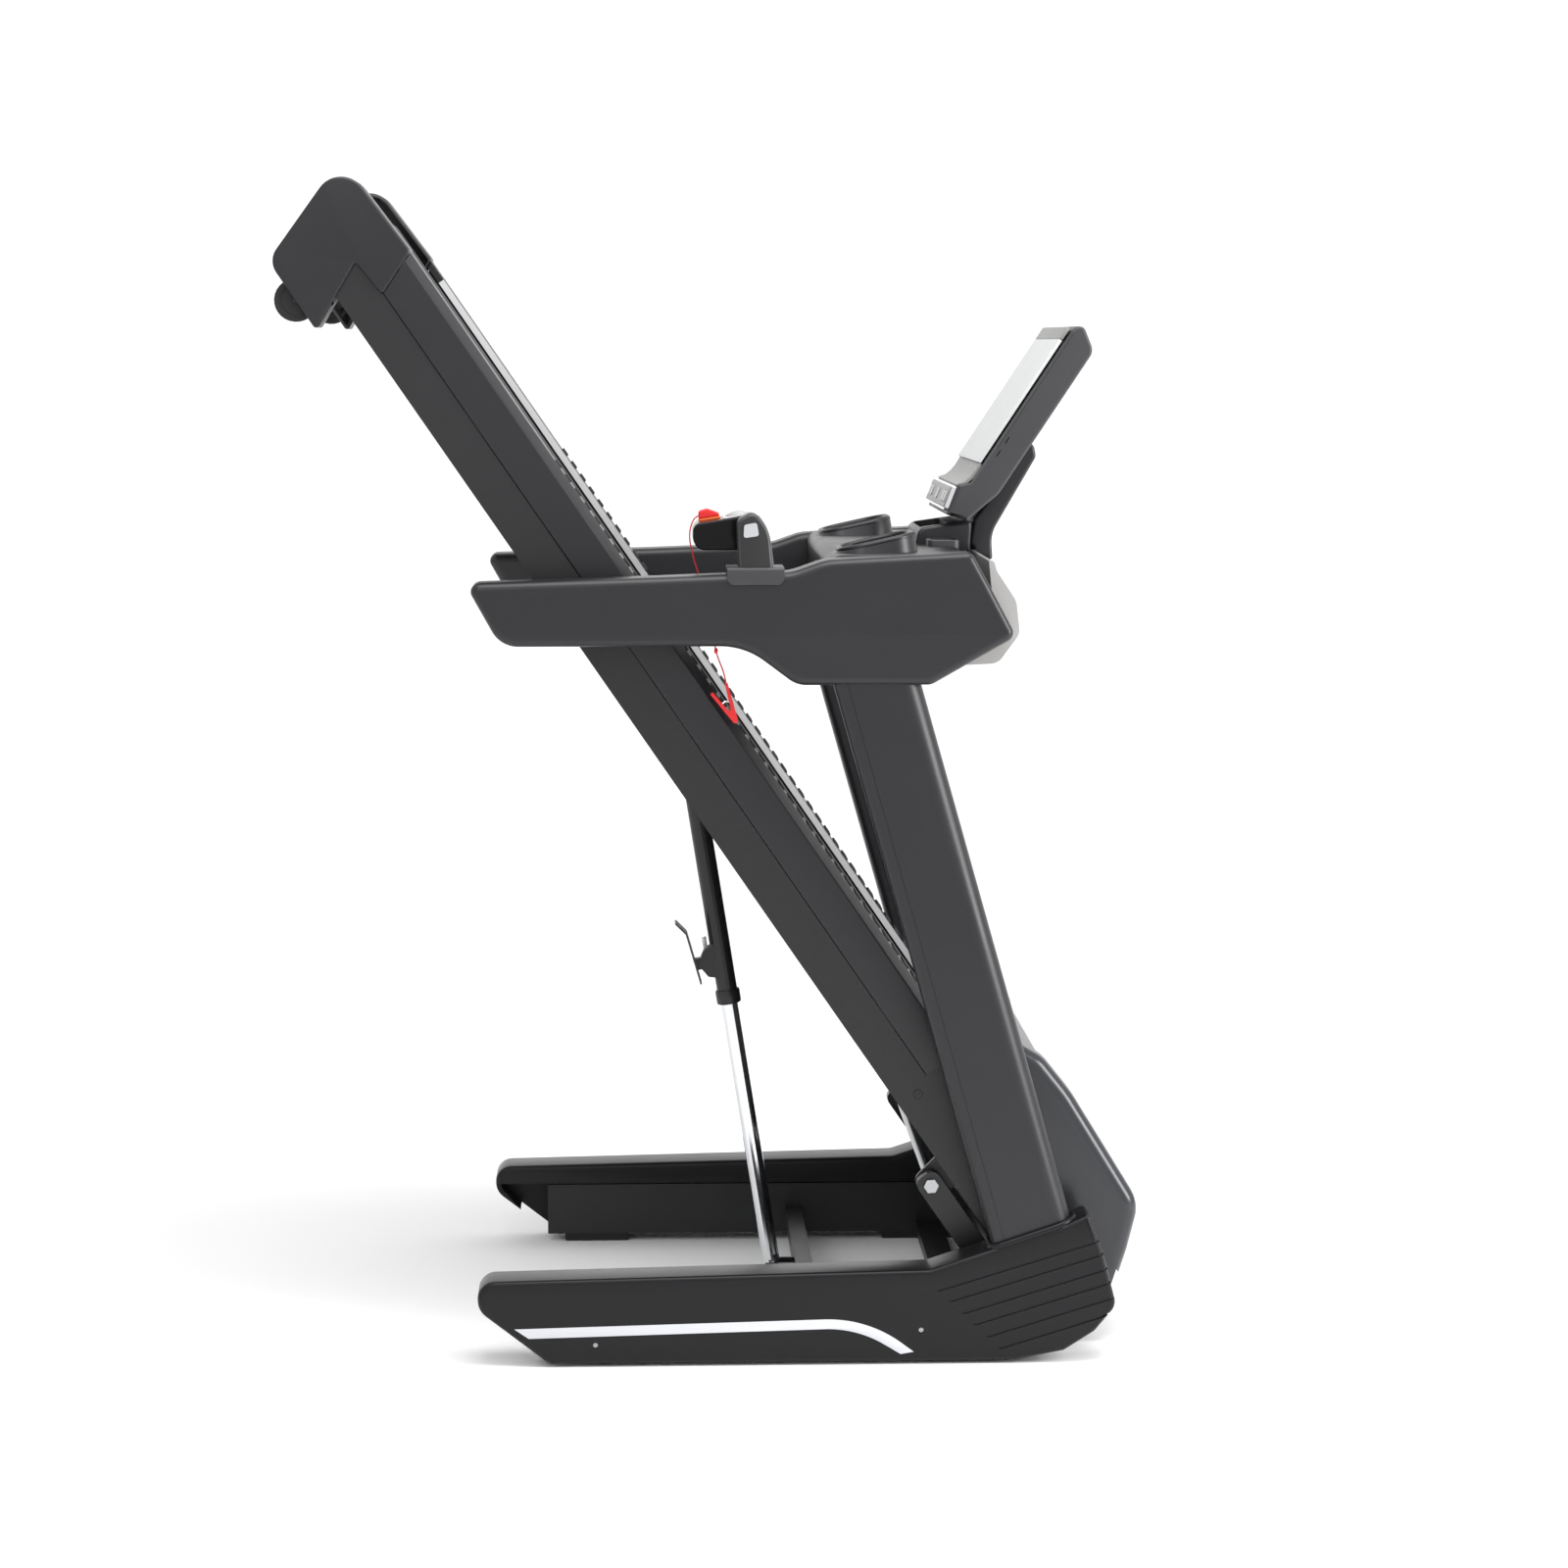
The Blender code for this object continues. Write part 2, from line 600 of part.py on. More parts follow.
def make_console_tray():
    """Upper half of the console: two side trays, and a raised middle with a slot for a phone."""
    profile = rounded([(0.172, TRAY_TOP, 0.018), (0.176, 1.0300, 0.020), (0.2050, 1.0080, 0),
                       (0.3860, 1.0080, 0), (0.3980, 1.0300, 0), (0.3620, TRAY_TOP + 0.003, 0)],
                      steps=3)
    tray = extruded(profile, -CONSOLE_HALF, CONSOLE_HALF)
    hump = rounded([(0.306, 1.100, 0), (0.384, 1.100, 0), (0.3790, 1.1480, 0.006),
                    (0.3130, 1.1370, 0.008)], steps=3)
    join(tray, extruded(hump, -0.105, 0.105))
    hollow = rounded([(0.1800, 1.0000, 0), (0.3830, 1.0000, 0), (0.3940, 1.0300, 0),
                      (0.3660, 1.0600, 0), (0.3660, 1.0480, 0), (0.1800, 1.0480, 0)], steps=2)
    cut(tray, extruded(hollow, -CONSOLE_HALF + WALL, CONSOLE_HALF - WALL))
    cut(tray, box(0.1850, 0.3120, -0.2080, 0.2080, 1.0400, 1.1080))
    for side in SIDES.values():
        x, y = CUP_MIDDLE
        cut(tray, rounded_block(x - 0.042, x + 0.052, side * y - 0.050, side * y + 0.050,
                                1.0540, 1.20, 0.030))
    cut(tray, rounded_block(0.3180, 0.3560, -0.085, 0.085, 1.0900, 1.20, 0.010))
    return node(tray, "console_tray", PLASTIC, machine)


def make_console_back():
    """Lower and rear shell of the console, bulging past the arms."""
    outline = rounded([(0.3990, 1.1080, 0.006), (0.4020, 1.0920, 0.03), (0.4300, 1.0500, 0.03),
                       (0.4350, 1.0050, 0.02), (0.4050, 0.9640, 0.02), (0.2300, 0.9560, 0.02),
                       (0.1800, 1.0020, 0)], steps=3)
    shell = extruded([*outline, Vector((0.4020, 1.0040))], -CONSOLE_HALF, CONSOLE_HALF)
    hollow = [Vector(p) for p in ((0.1900, 1.0200), (0.2340, 0.9600), (0.4030, 0.9680),
                                  (0.4300, 1.0060), (0.4262, 1.0450), (0.4040, 1.0780),
                                  (0.4022, 1.0200))]
    cut(shell, extruded(hollow, -CONSOLE_HALF + WALL, CONSOLE_HALF - WALL))
    return node(shell, "console_back_cover", PALE, machine)


def make_display_neck():
    neck = rounded([(0.3920, 1.1140, 0), (0.4330, 1.1140, 0), (0.4250, 1.1230, 0.008),
                    (0.4890, 1.2390, 0.010), (0.4840, 1.2610, 0.008), (0.4705, 1.2605, 0),
                    (0.4140, 1.1730, 0), (0.3960, 1.1500, 0)], steps=3)
    return node(extruded(neck, -0.060, 0.060), "display_neck", GLOSS, machine)


def make_display_back():
    """Rear housing of the display with its chin; the glass and the keypad sit in front."""
    shape = rounded([(0.3815, 1.2060, 0), (0.5260, 1.4235, 0), (0.5390, 1.4300, 0.006),
                     (0.5550, 1.3900, 0.016), (0.4220, 1.1900, 0.030), (0.3860, 1.1600, 0.020),
                     (0.3770, 1.1520, 0.004), (0.3475, 1.1605, 0.002), (0.3640, 1.2030, 0.002)],
                    steps=3)
    housing = extruded(shape, -DISPLAY_HALF, DISPLAY_HALF)
    inside = [Vector(p) for p in ((0.3828, 1.2278), (0.5088, 1.4158), (0.5440, 1.3850),
                                  (0.4230, 1.2030))]
    cut(housing, extruded(inside, -DISPLAY_HALF + WALL, DISPLAY_HALF - WALL))
    return node(housing, "display_back", PLASTIC, machine)


def make_display_glass():
    glass = rounded_block(-0.0040, 0.0002, -DISPLAY_HALF + 0.003, DISPLAY_HALF - 0.003,
                          0.0030, 0.2560, 0.001)
    return node(glass, "display_glass", SCREEN, display_axis)


def make_keypad():
    """The strip of keys under the screen, each key in its own hole."""
    half = DISPLAY_HALF - 0.004
    outline = rounded([(-half, 0.0015, 0.004), (half, 0.0015, 0.004), (half, 0.0385, 0.004),
                       (-half, 0.0385, 0.004)], steps=2)
    panel = extruded(outline, -0.0080, -0.0005, plane="YZ")
    for y in BUTTONS.values():
        hole = rounded([(y - 0.0125, 0.0115, 0.003), (y + 0.0125, 0.0115, 0.003),
                        (y + 0.0125, 0.0285, 0.003), (y - 0.0125, 0.0285, 0.003)], steps=2)
        cut(panel, extruded(hole, -0.010, 0.005, plane="YZ"))
    node(panel, "keypad_panel", GREY, keypad_axis)
    for name, y in BUTTONS.items():
        face = rounded([(y - 0.0120, 0.0120, 0.0027), (y + 0.0120, 0.0120, 0.0027),
                        (y + 0.0120, 0.0280, 0.0027), (y - 0.0120, 0.0280, 0.0027)], steps=2)
        node(extruded(face, -0.0092, -0.0020, plane="YZ"), name, PALE, keypad_axis)


make_console_tray()
make_console_back()
make_display_neck()
make_display_back()
make_display_glass()
make_keypad()


# ------------------------------------------------------------------ storage strut
ROD_R, STRUT_R = 0.0125, 0.0150
STRUT_SPLIT = 0.405                # where the black tube begins, folded
LATCH_Z = 0.470
latch_axis = make_empty("latch_axis", x=-0.0300, z=LATCH_Z, parent=strut_axis)


def make_strut_rod():
    """Chrome lower tube with an eye that turns on the base's clevis pin."""
    tube = post(ROD_R, 0.0, 0.505, sides=20)
    join(tube, rod(0.0145, -0.0150, 0.0150, sides=20))
    cut(tube, rod(PIN_BORE, -0.03, 0.03))
    return node(tube, "strut_rod", CHROME, strut_axis, smooth=True)


def make_strut_pin():
    pin = rod(PIN_R, -0.0240, 0.0240)
    return node(pin, "strut_pin", BARE, strut_axis)


def make_strut_tube():
    """Black upper tube: bore for the rod, head pin for the deck, and lugs that carry the latch."""
    tube = post(STRUT_R, STRUT_SPLIT, STRUT_LENGTH - 0.008, sides=20)
    join(tube, rod(0.0150, -0.0135, 0.0135, z=STRUT_LENGTH, sides=20))
    for side in SIDES.values():
        lug = rounded([(0.000, 0.4440, 0), (0.000, 0.5020, 0), (-0.0240, 0.4900, 0.004),
                       (-0.0360, 0.4700, 0.005), (-0.0240, 0.4500, 0.004)], steps=2)
        join(tube, extruded(lug, *between(side, 0.0085, 0.0125)))
    cut(tube, post(ROD_R + 0.0004, 0.30, STRUT_LENGTH - 0.020, sides=20))
    join(tube, rod(PIN_R, -0.0155, 0.0155, z=STRUT_LENGTH))
    return node(tube, "strut_tube", COATED, strut_axis, smooth=True)


def make_latch_pedal():
    """Bent steel lever between the lugs, with the block that draws the locking bolt."""
    plate = rounded([(-0.0050, -0.0280, 0), (-0.0075, -0.0280, 0), (-0.0170, 0.0480, 0),
                     (-0.0300, 0.0660, 0), (-0.0280, 0.0675, 0), (-0.0145, 0.0490, 0)], steps=2)
    pedal = extruded(plate, -0.0200, 0.0200)
    block = rounded([(-0.0130, 0.0090, 0.002), (0.0060, 0.0090, 0.003), (0.0060, -0.0080, 0.003),
                     (-0.0090, -0.0080, 0.002)], steps=2)
    join(pedal, extruded(block, -0.0075, 0.0075))
    return node(pedal, "latch_pedal", GREY, latch_axis)


make_strut_rod()
make_strut_pin()
make_strut_tube()
make_latch_pedal()


# ------------------------------------------------------------------ lift frame
ARM_IN, ARM_OUT = 0.3180, 0.3400


def make_fold_shaft():
    return node(rod(0.0080, -0.3660, 0.3660), "fold_shaft", BARE, deck_axis, smooth=True)


def make_lift_frame():
    """Two arms on a cross hub: the hub turns on the fold shaft, the arm ends carry the deck."""
    hub = rod(0.0190, -ARM_IN - 0.002, ARM_IN + 0.002, sides=20)
    arm = rounded([(INCLINE_PIVOT_X - 0.0175, -0.0175, 0.012), (0.0175, -0.0175, 0.012),
                   (0.0175, 0.0175, 0.012), (INCLINE_PIVOT_X - 0.0175, 0.0175, 0.012)], steps=3)
    for side in SIDES.values():
        join(hub, extruded(arm, *between(side, ARM_IN, ARM_OUT)))
    cut(hub, rod(0.0084, -0.40, 0.40))
    cut(hub, rod(0.0064, -0.40, 0.40, x=INCLINE_PIVOT_X))
    return node(hub, "lift_frame", COATED, deck_axis)


def make_incline_shaft():
    shaft = rod(0.0060, -0.3440, 0.3440)
    for side in SIDES.values():
        join(shaft, rod(0.0105, *between(side, ARM_OUT + GAP, 0.3455), sides=6))
    shaft = node(shaft, "incline_shaft", BARE, deck_axis)
    shaft.location = (INCLINE_PIVOT_X, 0.0, 0.0)


make_fold_shaft()
make_lift_frame()
make_incline_shaft()


# ------------------------------------------------------------------ deck
CAP = [(-1.6885, 0.1465, 0.004), (-1.8440, 0.1400, 0.034), (-1.7870, -0.0200, 0.026),
       (-1.6732, -0.0204, 0), (-1.7184, 0.0762, 0), (-1.6617, 0.0808, 0)]
PLATE_FRONT_TOP = 0.1100


DECK_TUBES = [(-1.6600, -1.6300, 0.0300, 0.0600), (-0.9650, -0.9350, 0.0400, 0.0700),
              (0.0080, 0.0360, 0.0300, 0.0560)]      # x and z ranges of the cross tubes
BOARD_BEARERS = (-0.450, -0.950, -1.450)
SHELF_TOP = 0.0590
INCLINE_X, INCLINE_Y = -0.0330, 0.1000


def make_deck_frame():
    """Welded frame: two side tubes, cross members, front plates, clevis ears and wheel lugs."""
    frame = box(DECK_REAR, DECK_FRONT, *between(-1, DECK_IN, DECK_OUT), RAIL_LOW, RAIL_TOP)
    join(frame, box(DECK_REAR, DECK_FRONT, *between(1, DECK_IN, DECK_OUT), RAIL_LOW, RAIL_TOP))
    reach = DECK_IN + 0.002
    for x in BOARD_BEARERS:
        join(frame, box(x - 0.020, x + 0.020, -DECK_OUT + 0.004, DECK_OUT - 0.004,
                        RAIL_TOP - 0.001, 0.1095))
    for x0, x1, z0, z1 in DECK_TUBES:
        join(frame, box(x0, x1, -reach, reach, z0, z1))
    join(frame, box(-0.0680, 0.0300, 0.0550, 0.1900, 0.0550, SHELF_TOP))
    x, z = STRUT_HEAD
    ear = rounded([(x - EAR_REACH, 0.0420, 0), (x + 0.0140, z - 0.0140, 0.012),
                   (x + 0.0140, z + 0.0140, 0.012), (x - EAR_REACH, 0.0680, 0)], steps=3)
    hanger = rounded([(INCLINE_PIVOT_X - 0.0280, 0.0400, 0),
                      (INCLINE_PIVOT_X - 0.0170, -0.0170, 0.012),
                      (INCLINE_PIVOT_X + 0.0170, -0.0170, 0.012),
                      (INCLINE_PIVOT_X + 0.0280, 0.0400, 0)], steps=3)
    lug = rounded([(DECK_WHEEL[0] - 0.022, 0.0400, 0), (DECK_WHEEL[0] - 0.010, -0.0300, 0.008),
                   (DECK_WHEEL[0] + 0.010, -0.0300, 0.008), (DECK_WHEEL[0] + 0.022, 0.0400, 0)],
                  steps=3)
    for side in SIDES.values():
        join(frame, box(FOOT_FRONT, DECK_FRONT, *between(side, DECK_OUT - 0.004, DECK_OUT),
                        RAIL_TOP - 0.001, PLATE_FRONT_TOP))
        join(frame, extruded(ear, *between(side, 0.0160, 0.0215)))
        for x in (FRONT_ROLLER_X, REAR_ROLLER_X):
            join(frame, box(x - 0.0160, x + 0.0160, *between(side, DECK_IN, DECK_IN + 0.0030),
                            RAIL_TOP - 0.001, ROLLER_Z + 0.0120))
        join(frame, extruded(hanger, *between(side, 0.3090, 0.3165)))
        join(frame, extruded(lug, *between(side, 0.3165, 0.3200)))
        join(frame, rod(0.0040, *between(side, 0.3180, 0.3440), *DECK_WHEEL, sides=12))
    for side in SIDES.values():
        cut(frame, box(DECK_REAR - 0.01, DECK_FRONT + 0.01,
                       *between(side, DECK_IN + 0.0025, DECK_OUT - 0.0025),
                       RAIL_LOW + 0.0025, RAIL_TOP - 0.0025))
    for x0, x1, z0, z1 in DECK_TUBES:
        cut(frame, box(x0 + 0.0025, x1 - 0.0025, -0.330, 0.330, z0 + 0.0025, z1 - 0.0025))
    for x in BOARD_BEARERS:
        cut(frame, box(x - 0.0175, x + 0.0175, -0.3120, 0.3120, 0.0750, 0.1070))
    for x in (FRONT_ROLLER_X, REAR_ROLLER_X):
        cut(frame, rod(0.0076, -0.33, 0.33, x, ROLLER_Z))
    cut(frame, rod(0.0064, -0.34, 0.34, x=INCLINE_PIVOT_X))
    cut(frame, rod(PIN_BORE, -0.03, 0.03, *STRUT_HEAD))
    cut(frame, post(0.0105, 0.0500, 0.0650, INCLINE_X, INCLINE_Y))
    return node(frame, "deck_frame", COATED, deck_axis)


def make_foot_rail(name, side):
    """Plastic side rail: outer wall, sloping shoulder, standing strip and inner lip."""
    section = [(0.3480, RAIL_TOP + 0.0010), (0.3480, 0.1335), (0.3250, 0.1445), (0.2640, 0.1445),
               (0.2640, 0.1345), (0.2672, 0.1345), (0.2672, 0.1412), (0.3240, 0.1412),
               (0.3448, 0.1312), (0.3448, 0.1150), (0.3465, 0.1140), (0.3465, RAIL_TOP + 0.0010)]
    outline = [Vector((side * y, z)) for y, z in section]
    rail = extruded(outline, -1.720, FOOT_FRONT, plane="YZ")
    cap_space = offset(rounded(CAP, steps=3), -0.0006)
    cut(rail, extruded(cap_space, *between(side, 0.25, 0.36)))
    return node(rail, name, PLASTIC, deck_axis)


def make_end_cap(name, side):
    outline = rounded(CAP, steps=6)
    cap = extruded(outline, *between(side, 0.2645, 0.3520))
    cut(cap, extruded(offset(outline, WALL), *between(side, 0.2500, 0.3490)))
    cut(cap, box(-1.80, -1.60, *between(side, DECK_IN - 0.0010, DECK_OUT + 0.0008),
                 RAIL_LOW - 0.0008, RAIL_TOP + 0.0008))
    cut(cap, box(-1.755, -1.690, *between(side, DECK_IN - 0.004, 0.3465), -0.06, 0.02))
    return node(cap, name, PLASTIC, deck_axis)


def make_running_board():
    board = box(-1.6580, -0.2800, -0.3000, 0.3000, BOARD_TOP - 0.0190, BOARD_TOP)
    return node(board, "running_board", BOARD, deck_axis)


def belt_loop(x_front, x_rear, z, radius, steps=14):
    """A stadium outline round two equal rollers."""
    loop = []
    for x, start in ((x_front, -90), (x_rear, 90)):
        for step in range(steps + 1):
            a = math.radians(start + 180 * step / steps)
            loop.append(Vector((x + radius * math.cos(a), z + radius * math.sin(a))))
    return loop


def make_running_belt():
    inner = belt_loop(FRONT_ROLLER_X, REAR_ROLLER_X, ROLLER_Z, ROLLER_R + GAP)
    outer = belt_loop(FRONT_ROLLER_X, REAR_ROLLER_X, ROLLER_Z, ROLLER_R + GAP + BELT_THICK)
    loop = extruded(outer, -BELT_HALF, BELT_HALF, holes=(inner,))
    return node(loop, "running_belt", BELT, deck_axis)


def make_roller(name, x, pulley):
    """Steel roller on its axle, the front one with the driven pulley."""
    axle, end = 0.0070, DECK_IN + 0.0045
    core = [(0.0, -end), (axle, -end), (axle, -BELT_HALF - 0.003), (ROLLER_R, -BELT_HALF - 0.003),
            (ROLLER_R, BELT_HALF + 0.003), (axle, BELT_HALF + 0.003)]
    if pulley:
        core += [(axle, 0.2700), (0.0345, 0.2700), (0.0320, 0.2730), (0.0320, 0.2930),
                 (0.0345, 0.2960), (axle, 0.2960)]
    core += [(axle, end), (0.0, end)]
    roller = node(turned(core, steps=24), name, BARE, deck_axis, smooth=True)
    roller.location = (x, 0.0, ROLLER_Z)


HOOD = [(-0.3780, 0.1490, 0.004), (-0.3450, 0.1960, 0.03), (-0.2700, 0.2300, 0.06),
        (-0.2064, 0.2345, 0.2), (-0.0200, 0.2250, 0.02), (0.0246, 0.1741, 0),
        (0.0842, 0.0960, 0.004)]
HOOD_HALF = 0.3100


def make_motor_hood():
    """Shell over the motor bay, open below."""
    top = rounded(HOOD, steps=4)
    outline = [*top, Vector((0.0780, 0.0960)), Vector((-0.3480, 0.1120)), Vector((-0.3480, 0.1485))]
    shell = extruded(outline, -HOOD_HALF, HOOD_HALF)
    lower = offset(top, WALL)
    lower[0] = Vector((-0.3700, 0.1480))
    hollow = [*lower[:-1], Vector((0.0730, 0.0900)), Vector((-0.3440, 0.0900)),
              Vector((-0.3440, 0.1450))]
    cut(shell, extruded(hollow, -HOOD_HALF + WALL, HOOD_HALF - WALL))
    cut(shell, box(-0.40, -0.27, -0.3035, 0.3035, 0.08, 0.1345))
    cut(shell, box(FRONT_ROLLER_X - 0.010, FRONT_ROLLER_X + 0.010, -0.32, 0.32, 0.08, 0.1180))
    return node(shell, "motor_hood", PLASTIC, deck_axis)


NOSE = (0.0700, 0.0590)            # middle of the pan's front wall
NOSE_LEAN = math.radians(20.24)    # from upright, away from the deck at the top
nose_axis = make_empty("nose_axis", *NOSE, turn=NOSE_LEAN, parent=deck_axis)


def make_motor_pan():
    """Belly pan under the motor bay, with the front wall that meets the hood's nose."""
    section = [Vector(p) for p in (
        (-0.1900, 0.0240), (0.0570, 0.0240), (0.0830, 0.0945), (0.0795, 0.0945), (0.0548, 0.0270),
        (-0.1900, 0.0270))]
    pan = extruded(section, -0.3140, 0.3140)
    cut(pan, box(-0.0520, -0.0140, 0.0830, 0.1170, 0.0, 0.05))
    for low, high, reach in ((-0.2455, -0.1945, 0.0145), (-0.1825, -0.1695, 0.0120)):
        window = box(-0.020, 0.020, low, high, -reach, reach)
        window.data.transform(Matrix.Rotation(NOSE_LEAN, 4, "Y"))
        window.data.transform(Matrix.Translation((NOSE[0], 0.0, NOSE[1])))
        cut(pan, window)
    return node(pan, "motor_pan", PLASTIC, deck_axis)


def make_drive_motor():
    """Direct-current motor on its foot, its shaft towards the right side."""
    motor = rod(0.0480, -0.2300, -0.0450, MOTOR_X, MOTOR_Z, sides=28)
    join(motor, rod(0.0300, -0.0460, -0.0300, MOTOR_X, MOTOR_Z, sides=20))
    join(motor, box(MOTOR_X - 0.040, MOTOR_X + 0.040, -0.200, -0.080, 0.0273, 0.060))
    cut(motor, rod(0.0086, -0.24, -0.20, MOTOR_X, MOTOR_Z))
    return node(motor, "drive_motor", COATED, deck_axis, smooth=True)


def make_motor_pulley():
    core = [(0.0, -0.0750), (0.0080, -0.0750), (0.0080, -0.0130), (0.0195, -0.0130),
            (0.0170, -0.0100), (0.0170, 0.0100), (0.0195, 0.0130), (0.0, 0.0130)]
    pulley = node(turned(core, steps=20), "motor_pulley", BARE, deck_axis, smooth=True)
    pulley.location = (MOTOR_X, -0.2830, MOTOR_Z)


def tangent_loop(centre_a, radius_a, centre_b, radius_b, steps=16):
    """The outline of a belt round two unlike pulleys."""
    a, b = Vector(centre_a), Vector(centre_b)
    along = (b - a).angle_signed(Vector((1, 0)))
    spread = math.acos((radius_a - radius_b) / (b - a).length)
    loop = []
    for centre, radius, start, end in ((a, radius_a, spread, 2 * math.pi - spread),
                                       (b, radius_b, -spread, spread)):
        for step in range(steps + 1):
            angle = along + start + (end - start) * step / steps
            loop.append(centre + radius * Vector((math.cos(angle), math.sin(angle))))
    return loop


def make_drive_belt():
    rear, front = (FRONT_ROLLER_X, ROLLER_Z), (MOTOR_X, MOTOR_Z)
    inner = tangent_loop(rear, 0.0323, front, 0.0173)
    outer = tangent_loop(rear, 0.0345, front, 0.0195)
    belt = extruded(outer, -0.2925, -0.2735, holes=(inner,))
    return node(belt, "drive_belt", RUBBER, deck_axis)


def make_incline_motor():
    """Gear motor on end that drives the lift frame's screw down through the pan."""
    body = box(INCLINE_X - 0.030, INCLINE_X + 0.030, INCLINE_Y - 0.032, INCLINE_Y + 0.032,
               SHELF_TOP + GAP, 0.1150)
    join(body, post(0.0160, 0.1140, 0.1950, INCLINE_X, INCLINE_Y, sides=16))
    join(body, post(0.0260, 0.0700, 0.1500, INCLINE_X, INCLINE_Y + 0.056, sides=20))
    cut(body, post(0.0098, 0.0, 0.1930, INCLINE_X, INCLINE_Y, sides=16))
    return node(body, "incline_motor", BARE, deck_axis)


def make_incline_screw():
    screw = post(0.0090, 0.0260, 0.1900, INCLINE_X, INCLINE_Y, sides=16)
    return node(screw, "incline_screw", CHROME, deck_axis)


def make_power_inlet():
    """Mains socket in the nose of the motor pan, on the right."""
    inlet = box(-0.0120, 0.0060, -0.2450, -0.1950, -0.0140, 0.0140)
    cut(inlet, box(-0.0060, 0.0200, -0.2390, -0.2010, -0.0090, 0.0090))
    return node(inlet, "power_inlet", GLOSS, nose_axis)


def make_power_switch():
    """Rocker switch beside the inlet, its pivot on its own middle."""
    rocker = rounded([(-0.0070, -0.0100, 0.001), (0.0058, -0.0100, 0.001), (0.0046, 0.0, 0.004),
                      (0.0075, 0.0100, 0.001), (-0.0070, 0.0100, 0.001)], steps=2)
    return node(extruded(rocker, -0.1820, -0.1700), "power_switch", RED, nose_axis)


make_deck_frame()
for name, side in SIDES.items():
    make_foot_rail("foot_rail_" + name, side)
    make_end_cap("end_cap_" + name, side)
    make_wheel("deck_wheel_" + name, *DECK_WHEEL, side, 0.3215, 0.3425, DECK_WHEEL_R, 0.0044,
               deck_axis)
make_running_board()
make_running_belt()
make_roller("front_roller", FRONT_ROLLER_X, pulley=True)
make_roller("rear_roller", REAR_ROLLER_X, pulley=False)
make_motor_hood()
make_motor_pan()
make_drive_motor()
make_motor_pulley()
make_drive_belt()
make_incline_motor()
make_incline_screw()
make_power_inlet()
make_power_switch()
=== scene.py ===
"""Looks for the folding treadmill: moulded covers, console, display, deck trim, cord and studio.

Pieces are drawn in the machine's own side view (x towards the display, z up) or, for the deck and
the strut, in the frame of their own pivot, and a matrix read from the joints puts them in place.
"""
import json
import math

import bmesh
import bpy
from mathutils import Matrix, Vector


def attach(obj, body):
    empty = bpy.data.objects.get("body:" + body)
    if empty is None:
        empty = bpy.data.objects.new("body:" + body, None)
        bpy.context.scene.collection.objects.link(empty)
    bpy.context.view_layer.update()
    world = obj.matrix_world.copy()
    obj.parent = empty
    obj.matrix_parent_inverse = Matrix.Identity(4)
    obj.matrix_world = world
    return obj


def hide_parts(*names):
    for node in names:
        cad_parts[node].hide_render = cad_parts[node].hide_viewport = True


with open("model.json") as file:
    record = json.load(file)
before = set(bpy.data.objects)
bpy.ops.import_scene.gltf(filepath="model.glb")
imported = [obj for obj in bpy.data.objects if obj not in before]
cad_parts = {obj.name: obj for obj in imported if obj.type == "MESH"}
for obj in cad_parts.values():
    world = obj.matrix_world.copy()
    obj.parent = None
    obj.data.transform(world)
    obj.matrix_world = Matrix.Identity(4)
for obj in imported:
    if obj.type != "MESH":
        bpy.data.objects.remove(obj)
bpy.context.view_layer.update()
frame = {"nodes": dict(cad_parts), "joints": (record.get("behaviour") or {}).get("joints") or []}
NODES = frame["nodes"]
JOINTS = {joint["name"]: joint for joint in frame["joints"]}

# ------------------------------------------------------------------ frames, from the joints
FOLD_AT = Vector(JOINTS["deck_fold"]["pos_m"])
FOLD_ANGLE = math.radians(JOINTS["deck_fold"]["range_deg"][1])
STRUT_AT = Vector(JOINTS["strut_swing"]["pos_m"])
STRUT_ALONG = Vector(JOINTS["strut_slide"]["axis"])
FOLD_X = 0.441                        # the fold pivot in the machine's side view
LEAN = math.radians(15.8)             # of the uprights, from the vertical
UPRIGHT_FOOT_X = 0.5026               # where an upright's middle would meet the floor
MACHINE = Matrix.Translation((FOLD_AT.x - FOLD_X, 0.0, 0.0))


def leaning(origin, angle):
    """A frame at an origin, leaning towards x by an angle."""
    return Matrix.Translation(origin) @ Matrix.Rotation(angle, 4, "Y")


DECK = leaning(FOLD_AT, FOLD_ANGLE)
STRUT = leaning(STRUT_AT, math.atan2(STRUT_ALONG.x, STRUT_ALONG.z))
UPRIGHT = MACHINE @ leaning((UPRIGHT_FOOT_X, 0.0, 0.0), -LEAN)
POD_TOP = MACHINE @ leaning((-0.004, 0.0, 1.1580), math.radians(-9.17))
SCREEN_AXIS = MACHINE @ leaning((0.3790, 0.0, 1.2085), math.radians(33.6))
KEYPAD_AXIS = MACHINE @ leaning((0.34886, 0.0, 1.1640), math.radians(21.2))
SIDES = {"right": -1, "left": 1}

workshop = bpy.data.collections.new("workshop")
bpy.context.scene.collection.children.link(workshop)


# ------------------------------------------------------------------ camera, light, floor
def make_camera():
    """A long lens from the right-hand side, at the height of the console."""
    camera = bpy.data.objects.new("camera", bpy.data.cameras.new("camera"))
    bpy.context.scene.collection.objects.link(camera)
    camera.location = MACHINE @ Vector((-0.1022, -5.93, 1.4017))
    camera.rotation_euler = (math.radians(83.826), 0.0, math.radians(-2.19))
    camera.data.lens = 93.6
    bpy.context.scene.camera = camera


